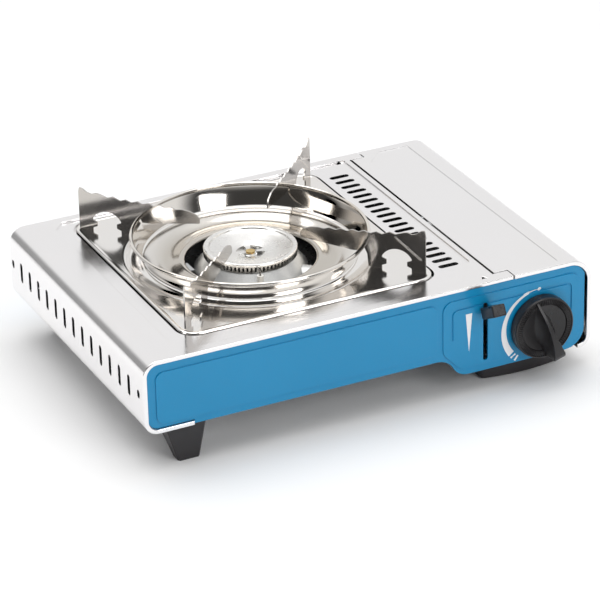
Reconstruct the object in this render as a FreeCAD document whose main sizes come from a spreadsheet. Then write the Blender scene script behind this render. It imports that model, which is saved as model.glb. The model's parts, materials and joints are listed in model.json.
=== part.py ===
# Camping stove for a gas cartridge: a low sheet-metal case with a burner, a lift-off
# drip tray and pan support on the left, and a cartridge bay under a hinged lid on the right.
#
# Frame: X to the right, Y to the back, Z up, millimetres. The origin is the middle of the
# footprint of the whole stove, on the surface that its feet stand on.
import FreeCAD, Part
import math
import os
from FreeCAD import Placement, Rotation, Vector
import Sketcher

doc = FreeCAD.newDocument("CampingStove")
sheet = doc.addObject("Spreadsheet::Sheet", "Sizes")

# Driving dimensions: name, millimetres (or degrees, or a count), what it is.
DIMENSIONS = [
    ("case_width", 365.0, "outside width of the case"),
    ("case_depth", 255.0, "front rim to back rim"),
    ("case_top", 89.5, "top face above the ground"),
    ("gauge", 0.8, "sheet of the case, pan, panels and lid"),
    ("left_floor", 31.5, "underside of the burner side above the ground"),
    ("bay_floor", 15.7, "underside of the cartridge side above the ground"),
    ("floor_step_at", 235.0, "start of the step between the two floors, from the left"),
    ("floor_step_bend", 15.0, "radius of both bends of that step"),
    ("corner_top", 12.0, "upper left corner radius"),
    ("corner_low", 11.0, "lower left corner radius"),
    ("lid_corner_top", 18.0, "upper right corner radius"),
    ("lid_corner_low", 10.0, "lower right corner radius"),
    ("bead_width", 3.4, "hemmed rim seen from the front"),
    ("under_wrap", 38.8, "how far the shell turns in under the case"),
    ("lid_edge", 288.1, "hinge edge of the lid from the left face"),
    ("lid_gap", 1.7, "gap between shell and lid at the hinge edge"),
    ("notch_length", 10.5, "hinge notch along X"),
    ("notch_depth", 10.3, "hinge notch along Y"),
    ("notch_gap", 0.8, "play round the hinge notch"),
    ("hinge_from_edge", 2.4, "hinge pin centre from the lid edge"),
    ("hinge_cover", 0.3, "lid sheet above the hinge pin"),
    ("hinge_pin_radius", 1.5, "lid hinge pin"),
    ("running_play", 0.05, "radial play of every turning fit"),
    ("recess_drop", 1.5, "sunk field round the tray and vents"),
    ("recess_left", 31.7, "sunk field, left edge"),
    ("recess_right", 282.0, "sunk field, right edge"),
    ("recess_front", 8.5, "sunk field, front edge"),
    ("recess_back", 8.5, "sunk field, back edge from the back rim"),
    ("tray_left", 44.9, "drip tray, left edge"),
    ("tray_width", 205.1, "drip tray along X"),
    ("tray_front", 26.7, "drip tray, front edge"),
    ("tray_depth", 214.0, "drip tray along Y"),
    ("tray_corner", 14.0, "drip tray corner radius"),
    ("tray_ledge", 6.0, "how far the tray flange rests on the case"),
    ("tray_gauge", 0.6, "sheet of the drip tray"),
    ("gutter_gap", 1.7, "open gutter round the tray"),
    ("gutter_depth", 3.0, "gutter and the tray's turned-down edge"),
    ("mark_size", 4.2, "punched triangular marks beside the vents"),
    ("vent_first", 41.4, "first vent slot from the front"),
    ("vent_pitch", 10.05, "vent slot spacing"),
    ("vent_count", 19, "vent slots"),
    ("vent_left", 257.9, "vent slots, left end"),
    ("vent_length", 16.3, "vent slot length along X"),
    ("vent_width", 5.0, "vent slot width along Y"),
    ("slot_first", 26.7, "first side slot from the front"),
    ("slot_pitch", 17.14, "side slot spacing"),
    ("slot_count", 13, "full side slots"),
    ("slot_bottom", 53.2, "side slots, lower end above the ground"),
    ("slot_length", 16.4, "side slot length"),
    ("slot_width", 4.6, "side slot width"),
    ("short_slot_bottom", 58.7, "end slots, lower end"),
    ("short_slot_length", 6.6, "end slot length"),
    ("panel_recess", 1.6, "front and rear panels behind the rim"),
    ("panel_gap", 0.4, "panel to rim"),
    ("panel_lid_gap", 1.6, "panel to the lid rim"),
    ("panel_corner", 16.0, "lower right corner of the panels"),
    ("field_raise", 0.9, "raised fields of the front panel"),
    ("field_edge", 10.0, "panel outline to its raised fields"),
    ("field_gap", 5.0, "channel between the two raised fields"),
    ("line_depth", 0.8, "pressed line round the controls"),
    ("frame_line_low", 45.9, "lower ends of that line above the ground"),
    ("lid_press_left", 299.8, "pressed field of the lid, left edge"),
    ("lid_press_right", 25.5, "pressed field of the lid, right edge from the right face"),
    ("lid_press_front", 7.5, "pressed field of the lid, front edge"),
    ("lid_press_nick", 14.0, "cut corner of that field"),
    ("lid_press_depth", 0.5, "pressed field of the lid"),
    ("lever_x", 275.4, "lever slot from the left face"),
    ("lever_slot_width", 4.0, "lever slot"),
    ("lever_slot_low", 25.0, "lever slot, lower end"),
    ("lever_slot_high", 72.0, "lever slot, upper end"),
    ("lever_pivot_y", 33.0, "lever pivot behind the front rim"),
    ("lever_pivot_z", 47.0, "lever pivot above the ground"),
    ("lever_rest_angle", 28.0, "lever above the horizontal at rest"),
    ("lever_gauge", 1.6, "lever sheet"),
    ("lever_width", 8.0, "lever blade"),
    ("lever_pin_radius", 2.0, "lever pivot pin"),
    ("handle_start", 39.5, "lever handle from the pivot"),
    ("handle_length", 20.5, "lever handle along the lever"),
    ("handle_width", 11.0, "lever handle along X"),
    ("handle_height", 9.0, "lever handle across the lever"),
    ("knob_from_right", 44.2, "knob axis from the right face"),
    ("knob_z", 44.5, "knob axis above the ground"),
    ("knob_radius", 24.6, "knob skirt"),
    ("knob_skirt", 8.0, "knob skirt depth"),
    ("knob_reach", 22.5, "front of the knob grip ahead of the front rim"),
    ("knob_ahead", 0.4, "back of the knob skirt ahead of the front rim"),
    ("knob_tilt", 17.0, "grip bar from upright when off"),
    ("bar_width", 8.0, "grip bar of the knob"),
    ("flute_count", 60, "flutes round the knob skirt"),
    ("spindle_radius", 3.0, "valve spindle"),
    ("bulkhead_y", 48.0, "valve bulkhead behind the front rim"),
    ("valve_width", 44.0, "regulator body along X"),
    ("valve_depth", 34.0, "regulator body along Y"),
    ("valve_below_knob", 16.5, "regulator body, from its underside to the knob axis"),
    ("valve_headroom", 11.5, "regulator body below the top face"),
    ("can_radius", 34.5, "gas cartridge that the bay takes"),
    ("can_from_right", 43.5, "cartridge axis from the right face"),
    ("can_clear", 1.2, "cartridge above the bay floor"),
    ("can_travel", 6.0, "slider travel that locks the cartridge"),
    ("ring_x", 147.1, "burner axis from the left face"),
    ("ring_y", 133.8, "burner axis behind the front rim"),
    ("shield_radius", 90.0, "wind shield at its rim"),
    ("shield_foot", 81.0, "wind shield at its lower edge"),
    ("shield_lift", 0.3, "wind shield above the tray flange"),
    ("shield_height", 15.6, "wind shield, lower edge to rim"),
    ("shield_gauge", 0.8, "sheet of the wind shield"),
    ("arm_reach", 138.0, "outer edge of a pan arm from the burner axis"),
    ("arm_inner", 40.0, "inner end of a pan arm"),
    ("arm_gauge", 1.2, "sheet of the pan arms"),
    ("pan_rise", 28.5, "pan arms, working height above the top face"),
    ("spike_rise", 5.0, "raised outer tips above the working height"),
    ("cap_radius", 35.5, "burner cap"),
    ("cap_rise", 3.9, "burner cap rim above the top face"),
    ("cap_dish", 5.6, "how deep the cap is dished"),
    ("cap_skirt", 6.4, "height of the cap's skirt"),
    ("cap_screw_radius", 2.0, "screw that holds the cap"),
    ("port_count", 64, "flame ports"),
    ("port_width", 1.7, "flame port"),
    ("port_height", 3.0, "flame port"),
    ("bell_radius", 43.0, "widest part of the burner bell"),
    ("bell_height", 35.8, "burner from its base to the rim of its cap"),
    ("hole_play", 6.3, "gap between the bell and the tray's burner hole"),
    ("tube_radius", 8.0, "mixing tube"),
    ("tube_drop", 19.5, "mixing tube axis below the top face"),
    ("pipe_radius", 3.0, "gas pipe"),
    ("left_foot_from_left", 19.0, "tall foot, top from the left face"),
    ("right_foot_from_right", 16.0, "low foot from the right face"),
    ("right_foot_width", 69.0, "low foot along X"),
]

for row, (alias, value, note) in enumerate(DIMENSIONS, 1):
    sheet.set(f"A{row}", alias)
    sheet.set(f"B{row}", str(value))
    sheet.setAlias(f"B{row}", alias)
    sheet.set(f"C{row}", note)
doc.recompute()


class Size:
    """A number that remembers the spreadsheet formula it came from."""

    def __init__(self, value, text=None):
        self.value = float(value)
        self.text = text if text is not None else repr(float(value))

    def _join(self, other, sign, value, swap=False):
        other = other if isinstance(other, Size) else Size(other)
        first, second = (other, self) if swap else (self, other)
        return Size(value(first.value, second.value), f"({first.text} {sign} {second.text})")

    def __add__(self, other):
        return self._join(other, "+", lambda a, b: a + b)

    def __radd__(self, other):
        return self._join(other, "+", lambda a, b: a + b, True)

    def __sub__(self, other):
        return self._join(other, "-", lambda a, b: a - b)

    def __rsub__(self, other):
        return self._join(other, "-", lambda a, b: a - b, True)

    def __mul__(self, other):
        return self._join(other, "*", lambda a, b: a * b)

    def __rmul__(self, other):
        return self._join(other, "*", lambda a, b: a * b, True)

    def __truediv__(self, other):
        return self._join(other, "/", lambda a, b: a / b)

    def __neg__(self):
        return 0 - self

    def __float__(self):
        return self.value


class Sizes:
    """The spreadsheet's cells as attributes, each one a Size."""

    def __getattr__(self, alias):
        return Size(float(sheet.get(alias)), f"Sizes.{alias}")


S = Sizes()
PARTS = []

# The case frame counts X from the left face and Y from the front rim. The stove's box
# runs from the knob's grip to the back rim, so its middle is the origin.
CASE_LEFT = -S.case_width / 2
CASE_FRONT = (S.knob_reach - S.case_depth) / 2
CASE_BACK = CASE_FRONT + S.case_depth


def at_x(from_left):
    return CASE_LEFT + from_left


def at_y(from_front):
    return CASE_FRONT + from_front


def bind(thing, **settings):
    """Bind properties to sheet formulas: Length=S.gauge, Placement_Base_x=at_x(5) and so on."""
    for name, size in settings.items():
        size = size if isinstance(size, Size) else Size(size)
        thing.setExpression(name.replace("_", "."), size.text)


def place(thing, x=0, y=0, z=0):
    bind(thing, Placement_Base_x=x, Placement_Base_y=y, Placement_Base_z=z)


def keep(thing, label):
    """Mark a finished sub-part under the name of its node."""
    thing.Label = label
    PARTS.append(thing)
    return thing


def scratch_name(label, word):
    return "".join(w.capitalize() for w in label.split("_")) + word


# ---------------------------------------------------------------- primitives and booleans
def block(name, low, high):
    thing = doc.addObject("Part::Box", name)
    bind(thing, Length=high[0] - low[0], Width=high[1] - low[1], Height=high[2] - low[2])
    place(thing, *low)
    return thing


TURN = {"x": Rotation(Vector(0, 1, 0), 90), "y": Rotation(Vector(1, 0, 0), -90), "z": Rotation()}


def rod(name, axis, start, length, radius):
    """A cylinder along +X, +Y or +Z from the point start."""
    thing = doc.addObject("Part::Cylinder", name)
    thing.Placement = Placement(Vector(), TURN[axis])
    bind(thing, Radius=radius, Height=length)
    place(thing, *start)
    return thing


def fuse(name, pieces):
    thing = doc.addObject("Part::MultiFuse", name)
    thing.Shapes = pieces
    return thing


def cut(name, base, tool):
    thing = doc.addObject("Part::Cut", name)
    thing.Base = base
    thing.Tool = tool
    return thing


# ---------------------------------------------------------------- PartDesign helpers
def new_body(label, x=0, y=0, z=0):
    body = doc.addObject("PartDesign::Body", scratch_name(label, "Body"))
    place(body, x, y, z)
    body.Label = label
    return body


def new_sketch(body, plane="XY_Plane", lift=None):
    sketch = body.newObject("Sketcher::SketchObject", body.Name + "Sketch")
    origin = [o for o in body.Origin.OriginFeatures if o.Role == plane][0]
    sketch.AttachmentSupport = [(origin, "")]
    sketch.MapMode = "FlatFace"
    if lift is not None:
        sketch.setExpression("AttachmentOffset.Base.z", lift.text if isinstance(lift, Size) else str(lift))
    return sketch


def pin_point(sketch, edge, end, x, y):
    """Tie one end of an edge to the sketch's origin with sheet formulas."""
    for kind, size in (("DistanceX", x), ("DistanceY", y)):
        size = size if isinstance(size, Size) else Size(size)
        number = sketch.addConstraint(Sketcher.Constraint(kind, -1, 1, edge, end, size.value))
        sketch.setExpression(f"Constraints[{number}]", size.text)


def draw_polygon(sketch, points):
    first = sketch.GeometryCount
    count = len(points)
    for i, (x, y) in enumerate(points):
        nx, ny = points[(i + 1) % count]
        start, end = Vector(float(x), float(y), 0), Vector(float(nx), float(ny), 0)
        sketch.addGeometry(Part.LineSegment(start, end), False)
    for i in range(count):
        sketch.addConstraint(Sketcher.Constraint("Coincident", first + i, 2, first + (i + 1) % count, 1))
    for i, (x, y) in enumerate(points):
        pin_point(sketch, first + i, 1, x, y)


def draw_circle(sketch, x, y, radius):
    centre = Vector(float(x), float(y), 0)
    number = sketch.addGeometry(Part.Circle(centre, Vector(0, 0, 1), float(radius)), False)
    radius = radius if isinstance(radius, Size) else Size(radius)
    held = sketch.addConstraint(Sketcher.Constraint("Radius", number, radius.value))
    sketch.setExpression(f"Constraints[{held}]", radius.text)
    pin_point(sketch, number, 3, x, y)


def add_pad(body, sketch, length, backwards=False):
    pad = body.newObject("PartDesign::Pad", body.Name + "Pad")
    pad.Profile = sketch
    pad.Reversed = backwards
    bind(pad, Length=length)
    return pad


def add_pocket(body, sketch, length, backwards=False):
    """Cut a pocket and make sure that it took something away."""
    doc.recompute()
    before = body.Shape.Volume
    pocket = body.newObject("PartDesign::Pocket", body.Name + "Pocket")
    pocket.Profile = sketch
    pocket.Reversed = backwards
    bind(pocket, Length=length)
    doc.recompute()
    if body.Shape.Volume >= before:
        raise RuntimeError(f"{body.Label}: pocket cuts nothing")
    return pocket


def add_turned(body, sketch):
    turned = body.newObject("PartDesign::Revolution", body.Name + "Turned")
    turned.Profile = sketch
    turned.ReferenceAxis = (sketch, ["V_Axis"])
    turned.Angle = 360
    return turned


def add_ring_of(body, feature, axis_role, count):
    """Repeat a feature round one of the body's axes; count is a Size of the sheet."""
    pattern = body.newObject("PartDesign::PolarPattern", body.Name + "Ring")
    pattern.Originals = [feature]
    axis = [o for o in body.Origin.OriginFeatures if o.Role == axis_role][0]
    pattern.Axis = (axis, [""])
    pattern.Angle = 360
    pattern.setExpression("Occurrences", count.text)
    body.Tip = pattern
    return pattern


# ---------------------------------------------------------------- sheet-metal shapes
def arc_edge(cx, cz, radius, start, end):
    """An arc in the XZ plane, angles in degrees from +X towards +Z."""
    def spot(angle):
        a = math.radians(angle)
        return Vector(cx + radius * math.cos(a), 0, cz + radius * math.sin(a))
    return Part.Arc(spot(start), spot((start + end) / 2), spot(end)).toShape()


def chain_face(edges):
    """Close gaps between consecutive edges with straight lines and fill the outline."""
    closed = []
    for i, edge in enumerate(edges):
        nxt = edges[(i + 1) % len(edges)]
        closed.append(edge)
        tail, head = edge.lastVertex(True).Point, nxt.firstVertex(True).Point
        if tail.distanceToPoint(head) > 1e-6:
            closed.append(Part.LineSegment(tail, head).toShape())
    return Part.Face(Part.Wire(closed))


def case_section(side, floor):
    """Front view of the case, moved in by side at walls and top and by floor underneath."""
    left = float(CASE_LEFT) + side
    right = -float(CASE_LEFT) - side
    top = float(S.case_top) - side
    low_left = float(S.left_floor) + floor
    low_right = float(S.bay_floor) + floor
    tl, bl = float(S.corner_top) - side, float(S.corner_low) - side
    tr, br = float(S.lid_corner_top) - side, float(S.lid_corner_low) - side
    bend = float(S.floor_step_bend)
    drop = float(S.left_floor) - float(S.bay_floor)
    turn = math.degrees(math.acos(1 - drop / (2 * bend)))
    step_x = float(at_x(S.floor_step_at))
    step_end = step_x + 2 * bend * math.sin(math.radians(turn))
    return chain_face([
        arc_edge(left + bl, low_left + bl, bl, 270, 180),
        arc_edge(left + tl, top - tl, tl, 180, 90),
        arc_edge(right - tr, top - tr, tr, 90, 0),
        arc_edge(right - br, low_right + br, br, 0, -90),
        arc_edge(step_end, float(S.bay_floor) + bend, bend - floor, 270, 270 - turn),
        arc_edge(step_x, float(S.left_floor) - bend, bend + floor, 90 - turn, 90),
    ])


def along_y(face, start, end):
    face = face.copy()
    face.translate(Vector(0, float(start), 0))
    return face.extrude(Vector(0, float(end) - float(start), 0))


def slab(x0, x1, y0, y1, z0, z1):
    box = Part.makeBox(float(x1) - float(x0), float(y1) - float(y0), float(z1) - float(z0))
    box.translate(Vector(float(x0), float(y0), float(z0)))
    return box


def slot_face(cx, cy, length, width):
    """A slot with round ends, its length along X, lying in the XY plane."""
    half, radius = length / 2 - width / 2, width / 2
    a, b = Vector(cx - half, cy - radius, 0), Vector(cx + half, cy - radius, 0)
    c, d = Vector(cx + half, cy + radius, 0), Vector(cx - half, cy + radius, 0)
    return Part.Face(Part.Wire([
        Part.LineSegment(a, b).toShape(),
        Part.Arc(b, Vector(cx + half + radius, cy, 0), c).toShape(),
        Part.LineSegment(c, d).toShape(),
        Part.Arc(d, Vector(cx - half - radius, cy, 0), a).toShape(),
    ]))


def rounded_plate(x0, x1, y0, y1, radius, z0, z1):
    """A flat plate with round corners."""
    solid = slab(x0, x1, y0, y1, z0, z1)
    upright = [e for e in solid.Edges if abs(e.tangentAt(e.FirstParameter).z) > 0.99]
    return solid.makeFillet(float(radius), upright)


def shape_part(label, shape):
    """A sub-part whose shape is worked out in code from the sheet."""
    thing = doc.addObject("Part::Feature", scratch_name(label, ""))
    thing.Shape = shape.removeSplitter()
    thing.Placement = Placement()
    return keep(thing, label)


# ================================================================ case
RING_X, RING_Y = at_x(S.ring_x), at_y(S.ring_y)
KNOB_X = -at_x(S.knob_from_right)
SHELL_EDGE = at_x(S.lid_edge - S.lid_gap)
NOTCH_X = at_x(S.lid_edge + S.notch_length)
NOTCH_Y = at_y(S.notch_depth)
REST_Z = S.case_top - S.recess_drop
MID_HEIGHT = (S.case_top + S.bay_floor) / 2
INSIDE = S.panel_recess + S.gauge
FAR = 1000


def recess_face(grow):
    """Outline of the sunk field: straight sides, a cut corner at the front right."""
    x0, x1 = float(at_x(S.recess_left)) - grow, float(at_x(S.recess_right)) + grow
    y0 = float(at_y(S.recess_front)) - grow
    y1 = float(CASE_BACK - S.recess_back) + grow
    cut_x, cut_y, turn_in = 22.0, 30.0, 9.0
    corner = [Vector(x0 + turn_in, y0, 0), Vector(x1 - cut_x, y0, 0), Vector(x1, y0 + cut_y, 0),
              Vector(x1, y1, 0), Vector(x0 + turn_in, y1, 0), Vector(x0, y1 - turn_in, 0),
              Vector(x0, y0 + turn_in, 0)]
    return Part.Face(Part.makePolygon(corner + corner[:1]))


def case_shell():
    gauge, bead = float(S.gauge), float(S.bead_width)
    front, back = float(CASE_FRONT), float(CASE_BACK)
    outer = case_section(0, 0)
    wall = outer.cut(case_section(gauge, gauge))
    hem = outer.cut(case_section(bead, bead))
    top_part = slab(float(CASE_LEFT) - 1, SHELL_EDGE, front, back, S.left_floor - 1, S.case_top + 1)
    right_of_wrap = slab(at_x(S.under_wrap), FAR, -FAR, FAR, 0, S.left_floor + S.bead_width + 0.1)
    shell = along_y(wall, front, back).common(top_part).cut(right_of_wrap)
    tab_limit = slab(float(CASE_LEFT) - 1, NOTCH_X, -FAR, FAR, S.left_floor - 1, S.case_top + 1)
    for start, end in ((front, front + float(INSIDE)), (back - float(INSIDE), back)):
        shell = shell.fuse(along_y(hem, start, end).common(tab_limit).cut(right_of_wrap))
    # Hinge tabs of the top sheet, which the lid's notches go round.
    for y0, y1 in ((CASE_FRONT, NOTCH_Y), (CASE_BACK - S.notch_depth, CASE_BACK)):
        shell = shell.fuse(slab(SHELL_EDGE - 1, NOTCH_X, y0, y1, S.case_top - S.gauge, S.case_top))
    # Edge turned down beside the lid, between the hinge tabs.
    flange_low = S.case_top - 8
    shell = shell.fuse(slab(SHELL_EDGE - S.gauge, SHELL_EDGE, NOTCH_Y, CASE_BACK - S.notch_depth,
                            flange_low, S.case_top))
    # Sunk field.
    field, rim = recess_face(0), recess_face(gauge)
    low = float(REST_Z) - gauge
    pan = rim.extrude(Vector(0, 0, float(S.case_top) - low))
    pan.translate(Vector(0, 0, low))
    hollow = field.extrude(Vector(0, 0, FAR))
    hollow.translate(Vector(0, 0, float(REST_Z)))
    shell = shell.fuse(pan).cut(hollow)
    # Gutter round the drip tray, whose floor carries the tray's turned-down edge.
    trough_low = REST_Z - S.gutter_depth
    shell = shell.fuse(tray_outline(S.gutter_gap + S.gauge, trough_low - S.gauge, REST_Z))
    shell = shell.cut(tray_outline(S.gutter_gap, trough_low, REST_Z + 1))
    # Opening under the drip tray.
    ledge = S.tray_ledge
    opening = rounded_plate(at_x(S.tray_left + ledge), at_x(S.tray_left + S.tray_width - ledge),
                            at_y(S.tray_front + ledge), at_y(S.tray_front + S.tray_depth - ledge),
                            S.tray_corner - ledge / 2, trough_low - 5, S.case_top + 5)
    shell = shell.cut(opening)
    # Two punched triangular marks that point along the vents.
    for y in (S.recess_front, S.case_depth - S.recess_back):
        shell = shell.cut(mark_hole(float(at_x(S.recess_right - 4.5)), float(at_y(y))))
    # Vents beside the tray.
    vents = []
    for i in range(round(float(S.vent_count))):
        y = at_y(S.vent_first + i * S.vent_pitch)
        face = slot_face(float(at_x(S.vent_left + S.vent_length / 2)), float(y),
                         float(S.vent_length), float(S.vent_width))
        face.translate(Vector(0, 0, float(REST_Z) - 5))
        vents.append(face.extrude(Vector(0, 0, 10)))
    # Cooling slots in the left side, shorter at both ends of the row.
    slots = []
    count = round(float(S.slot_count))
    for i in range(-1, count + 1):
        short = i in (-1, count)
        length = float(S.short_slot_length if short else S.slot_length)
        low_end = float(S.short_slot_bottom if short else S.slot_bottom)
        y = float(at_y(S.slot_first + i * S.slot_pitch))
        face = slot_face(0, 0, length, float(S.slot_width))
        face.rotate(Vector(), Vector(0, 1, 0), -90)
        face.translate(Vector(float(CASE_LEFT) - 2, y, low_end + length / 2))
        slots.append(face.extrude(Vector(6, 0, 0)))
    return shell.cut(vents + slots + [screw_hole(x, y) for x, y, _ in foot_screw_places()[:2]])


def tray_outline(grow, low, high):
    """The drip tray's outline, moved out by grow, as a solid."""
    return rounded_plate(at_x(S.tray_left) - grow, at_x(S.tray_left + S.tray_width) + grow,
                         at_y(S.tray_front) - grow, at_y(S.tray_front + S.tray_depth) + grow,
                         S.tray_corner + grow, low, high)


def mark_hole(x, y):
    """A small triangle through the top sheet."""
    half = float(S.mark_size) / 2
    low = float(REST_Z) - 4
    corners = [Vector(x - half, y - half, low), Vector(x + half, y - half, low), Vector(x, y + half, low)]
    return Part.Face(Part.makePolygon(corners + corners[:1])).extrude(Vector(0, 0, 10))


def base_pan():
    gauge = float(S.gauge)
    band = case_section(gauge, gauge).cut(case_section(gauge, 2 * gauge))
    plate = along_y(band, CASE_FRONT + INSIDE, CASE_BACK - INSIDE)
    left, right = at_x(S.corner_low), -at_x(S.lid_corner_low + 4)
    plate = plate.common(slab(left, right, -FAR, FAR, 0, S.left_floor + 2 * S.gauge + 0.1))
    lip = slab(right - S.gauge, right, CASE_FRONT + INSIDE, CASE_BACK - INSIDE, S.bay_floor + S.gauge,
               S.bay_floor + 9)
    pan = plate.fuse(lip)
    return pan.cut([screw_hole(x, y) for x, y, _ in foot_screw_places()])


def panel_plate(start, end):
    """Panel inside the rim: it stops above the wrapped edge and reaches the pan elsewhere."""
    side = float(S.bead_width + S.panel_gap)
    wrap_end = at_x(S.under_wrap + S.panel_gap)
    wrapped = slab(-FAR, wrap_end, -FAR, FAR, 0, FAR)
    over_wrap = along_y(case_section(side, side), start, end).common(wrapped)
    plate = along_y(case_section(side, float(S.gauge)), start, end).cut(wrapped)
    right = -at_x(S.bead_width + S.panel_lid_gap)
    corner = slab(-FAR, right, -FAR, FAR, S.bay_floor + S.gauge, FAR)
    lower_right = [e for e in corner.Edges
                   if abs(e.BoundBox.XMin - float(right)) < 1e-6 and e.BoundBox.ZMax < float(S.left_floor)]
    corner = corner.makeFillet(float(S.panel_corner), lower_right)
    return plate.fuse(over_wrap).common(corner)


def rounded_outline(points, radius):
    """A face in the XZ plane whose straight sides join in arcs; points are (x, z)."""
    points = [Vector(float(x), 0, float(z)) for x, z in points]
    edges = []
    for i, corner in enumerate(points):
        before = (points[i - 1] - corner).normalize()
        after = (points[(i + 1) % len(points)] - corner).normalize()
        half = math.acos(before.dot(after)) / 2
        reach = radius / math.tan(half)
        middle = corner + (before + after).normalize() * (radius / math.sin(half) - radius)
        edges.append(Part.Arc(corner + before * reach, middle, corner + after * reach).toShape())
    return chain_face(edges)


def front_panel():
    face_y = CASE_FRONT + S.panel_recess
    plate = panel_plate(face_y, face_y + S.gauge)
    raised_y = face_y - S.field_raise
    edge = float(S.field_edge)
    # Raised field over the burner side.
    field = along_y(rounded_outline([
        (at_x(edge), S.left_floor + 7), (at_x(S.floor_step_at), S.left_floor + 7),
        (at_x(S.floor_step_at), S.case_top - edge), (at_x(edge), S.case_top - edge)], 6), raised_y, face_y)
    plate = plate.fuse(field)
    # Raised field round the controls, with a pressed line that frames them on three sides.
    left, right = at_x(S.floor_step_at + S.field_gap), -at_x(edge)
    low, high = S.bay_floor + 7, S.case_top - edge
    controls = rounded_outline([(left, high), (left, S.left_floor + 6), (left + 14, low),
                                (right, low), (right, high)], 8)
    plate = plate.fuse(along_y(controls, raised_y, face_y))
    inset, width = 6.5, 1.8
    outside = rounded_outline([(left + inset, high - inset), (left + inset, S.frame_line_low),
                               (right - inset, S.frame_line_low), (right - inset, high - inset)], 5)
    inside = rounded_outline([(left + inset + width, high - inset - width), (left + inset + width, 0),
                              (right - inset - width, 0), (right - inset - width, high - inset - width)], 4)
    plate = plate.cut(along_y(outside.cut(inside), raised_y - 1, raised_y + S.line_depth))
    slot = slab(at_x(S.lever_x - S.lever_slot_width / 2), at_x(S.lever_x + S.lever_slot_width / 2),
                face_y - 5, face_y + 5, S.lever_slot_low, S.lever_slot_high)
    upright = [e for e in slot.Edges if abs(e.tangentAt(e.FirstParameter).y) > 0.99]
    slot = slot.makeFillet(float(S.lever_slot_width) / 2 - 0.05, upright)
    shaft = Part.makeCylinder(float(S.spindle_radius) + 1.5, 10,
                              Vector(float(KNOB_X), float(face_y) - 5, float(S.knob_z)), Vector(0, 1, 0))
    return plate.cut([slot, shaft])


def rear_panel():
    face_y = CASE_BACK - S.panel_recess
    return panel_plate(face_y - S.gauge, face_y)


# ---------------------------------------------------------------- feet and their screws
FOOT_LEFT = float(S.left_foot_from_left)
LEFT_FOOT = {"top_left": FOOT_LEFT, "top_width": 33.0, "top_front": 8.0, "top_depth": 26.0,
             "low_left": FOOT_LEFT + 9.5, "low_width": 17.3, "low_front": 9.2, "low_depth": 10.5}
RIGHT_FOOT_LEFT = float(S.case_width - S.right_foot_from_right - S.right_foot_width)
RIGHT_FOOT_FRONT = 12.2
RIGHT_FOOT_BOW = 4.0
RIGHT_FOOT_DEPTH = 30.0
SCREW_RADIUS = 2.0


def foot_screw_places():
    """Screw axes and the floor height that each head sits on."""
    left_x = at_x(LEFT_FOOT["low_left"] + 5)
    left_y = LEFT_FOOT["low_front"] + 7
    right_x = at_x(RIGHT_FOOT_LEFT + 12)
    right_y = RIGHT_FOOT_FRONT + 20
    high, low = S.left_floor + 2 * S.gauge, S.bay_floor + 2 * S.gauge
    return [(left_x, at_y(left_y), high), (left_x, CASE_BACK - left_y, high),
            (right_x, at_y(right_y), low), (right_x, CASE_BACK - right_y, low)]


def screw_hole(x, y, radius=SCREW_RADIUS + 0.1):
    return Part.makeCylinder(radius, 60, Vector(float(x), float(y), 4), Vector(0, 0, 1))


def foot_screws():
    screws = []
    for x, y, seat in foot_screw_places():
        depth = min(float(seat) - 6, 12.0)
        spot = Vector(float(x), float(y), float(seat))
        head = Part.makeCylinder(3.8, 2.2, spot, Vector(0, 0, 1))
        shank = Part.makeCylinder(SCREW_RADIUS, depth, spot, Vector(0, 0, -1))
        screws.append(head.fuse(shank))
    return Part.makeCompound(screws)


def left_foot(back):
    """A tall foot that narrows towards the ground; the back one is a mirror image."""
    f = LEFT_FOOT

    def ring(left, front, width, depth, z):
        right, rear, nick = left + width, front + depth, 1.6
        pts = [(left + nick, front), (right - nick, front), (right, front + nick), (right, rear - nick),
               (right - nick, rear), (left + nick, rear), (left, rear - nick), (left, front + nick)]
        return Part.makePolygon([Vector(x, y, z) for x, y in pts + pts[:1]])
    low = ring(f["low_left"], f["low_front"], f["low_width"], f["low_depth"], 0)
    high = ring(f["top_left"], f["top_front"], f["top_width"], f["top_depth"], float(S.left_floor))
    foot = Part.makeLoft([low, high], True, True)
    if back:
        foot = foot.mirror(Vector(0, float(S.case_depth) / 2, 0), Vector(0, 1, 0))
    foot.translate(Vector(float(CASE_LEFT), float(CASE_FRONT), 0))
    return foot.cut([screw_hole(x, y) for x, y, _ in foot_screw_places()])


def right_foot(back):
    """A low, wide foot with a bowed front and rounded ends."""
    x0, x1 = RIGHT_FOOT_LEFT, RIGHT_FOOT_LEFT + float(S.right_foot_width)
    y0, y1 = RIGHT_FOOT_FRONT + RIGHT_FOOT_BOW, RIGHT_FOOT_FRONT + RIGHT_FOOT_DEPTH
    height = float(S.bay_floor + S.gauge)
    front_left, front_right = Vector(x0, y0, 0), Vector(x1, y0, 0)
    bow = Part.Arc(front_left, Vector((x0 + x1) / 2, RIGHT_FOOT_FRONT, 0), front_right).toShape()
    sides = Part.makePolygon([front_right, Vector(x1, y1, 0), Vector(x0, y1, 0), front_left])
    foot = Part.Face(Part.Wire([bow] + sides.Edges)).extrude(Vector(0, 0, height))
    foot = foot.makeFillet(4, [e for e in foot.Edges if abs(e.tangentAt(e.FirstParameter).z) > 0.99])
    foot = foot.makeChamfer(1.5, [e for e in foot.Edges if e.BoundBox.ZMax < 1e-6])
    if back:
        foot = foot.mirror(Vector(0, float(S.case_depth) / 2, 0), Vector(0, 1, 0))
    foot.translate(Vector(float(CASE_LEFT), float(CASE_FRONT), 0))
    return foot.cut([screw_hole(x, y) for x, y, _ in foot_screw_places()])


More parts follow.
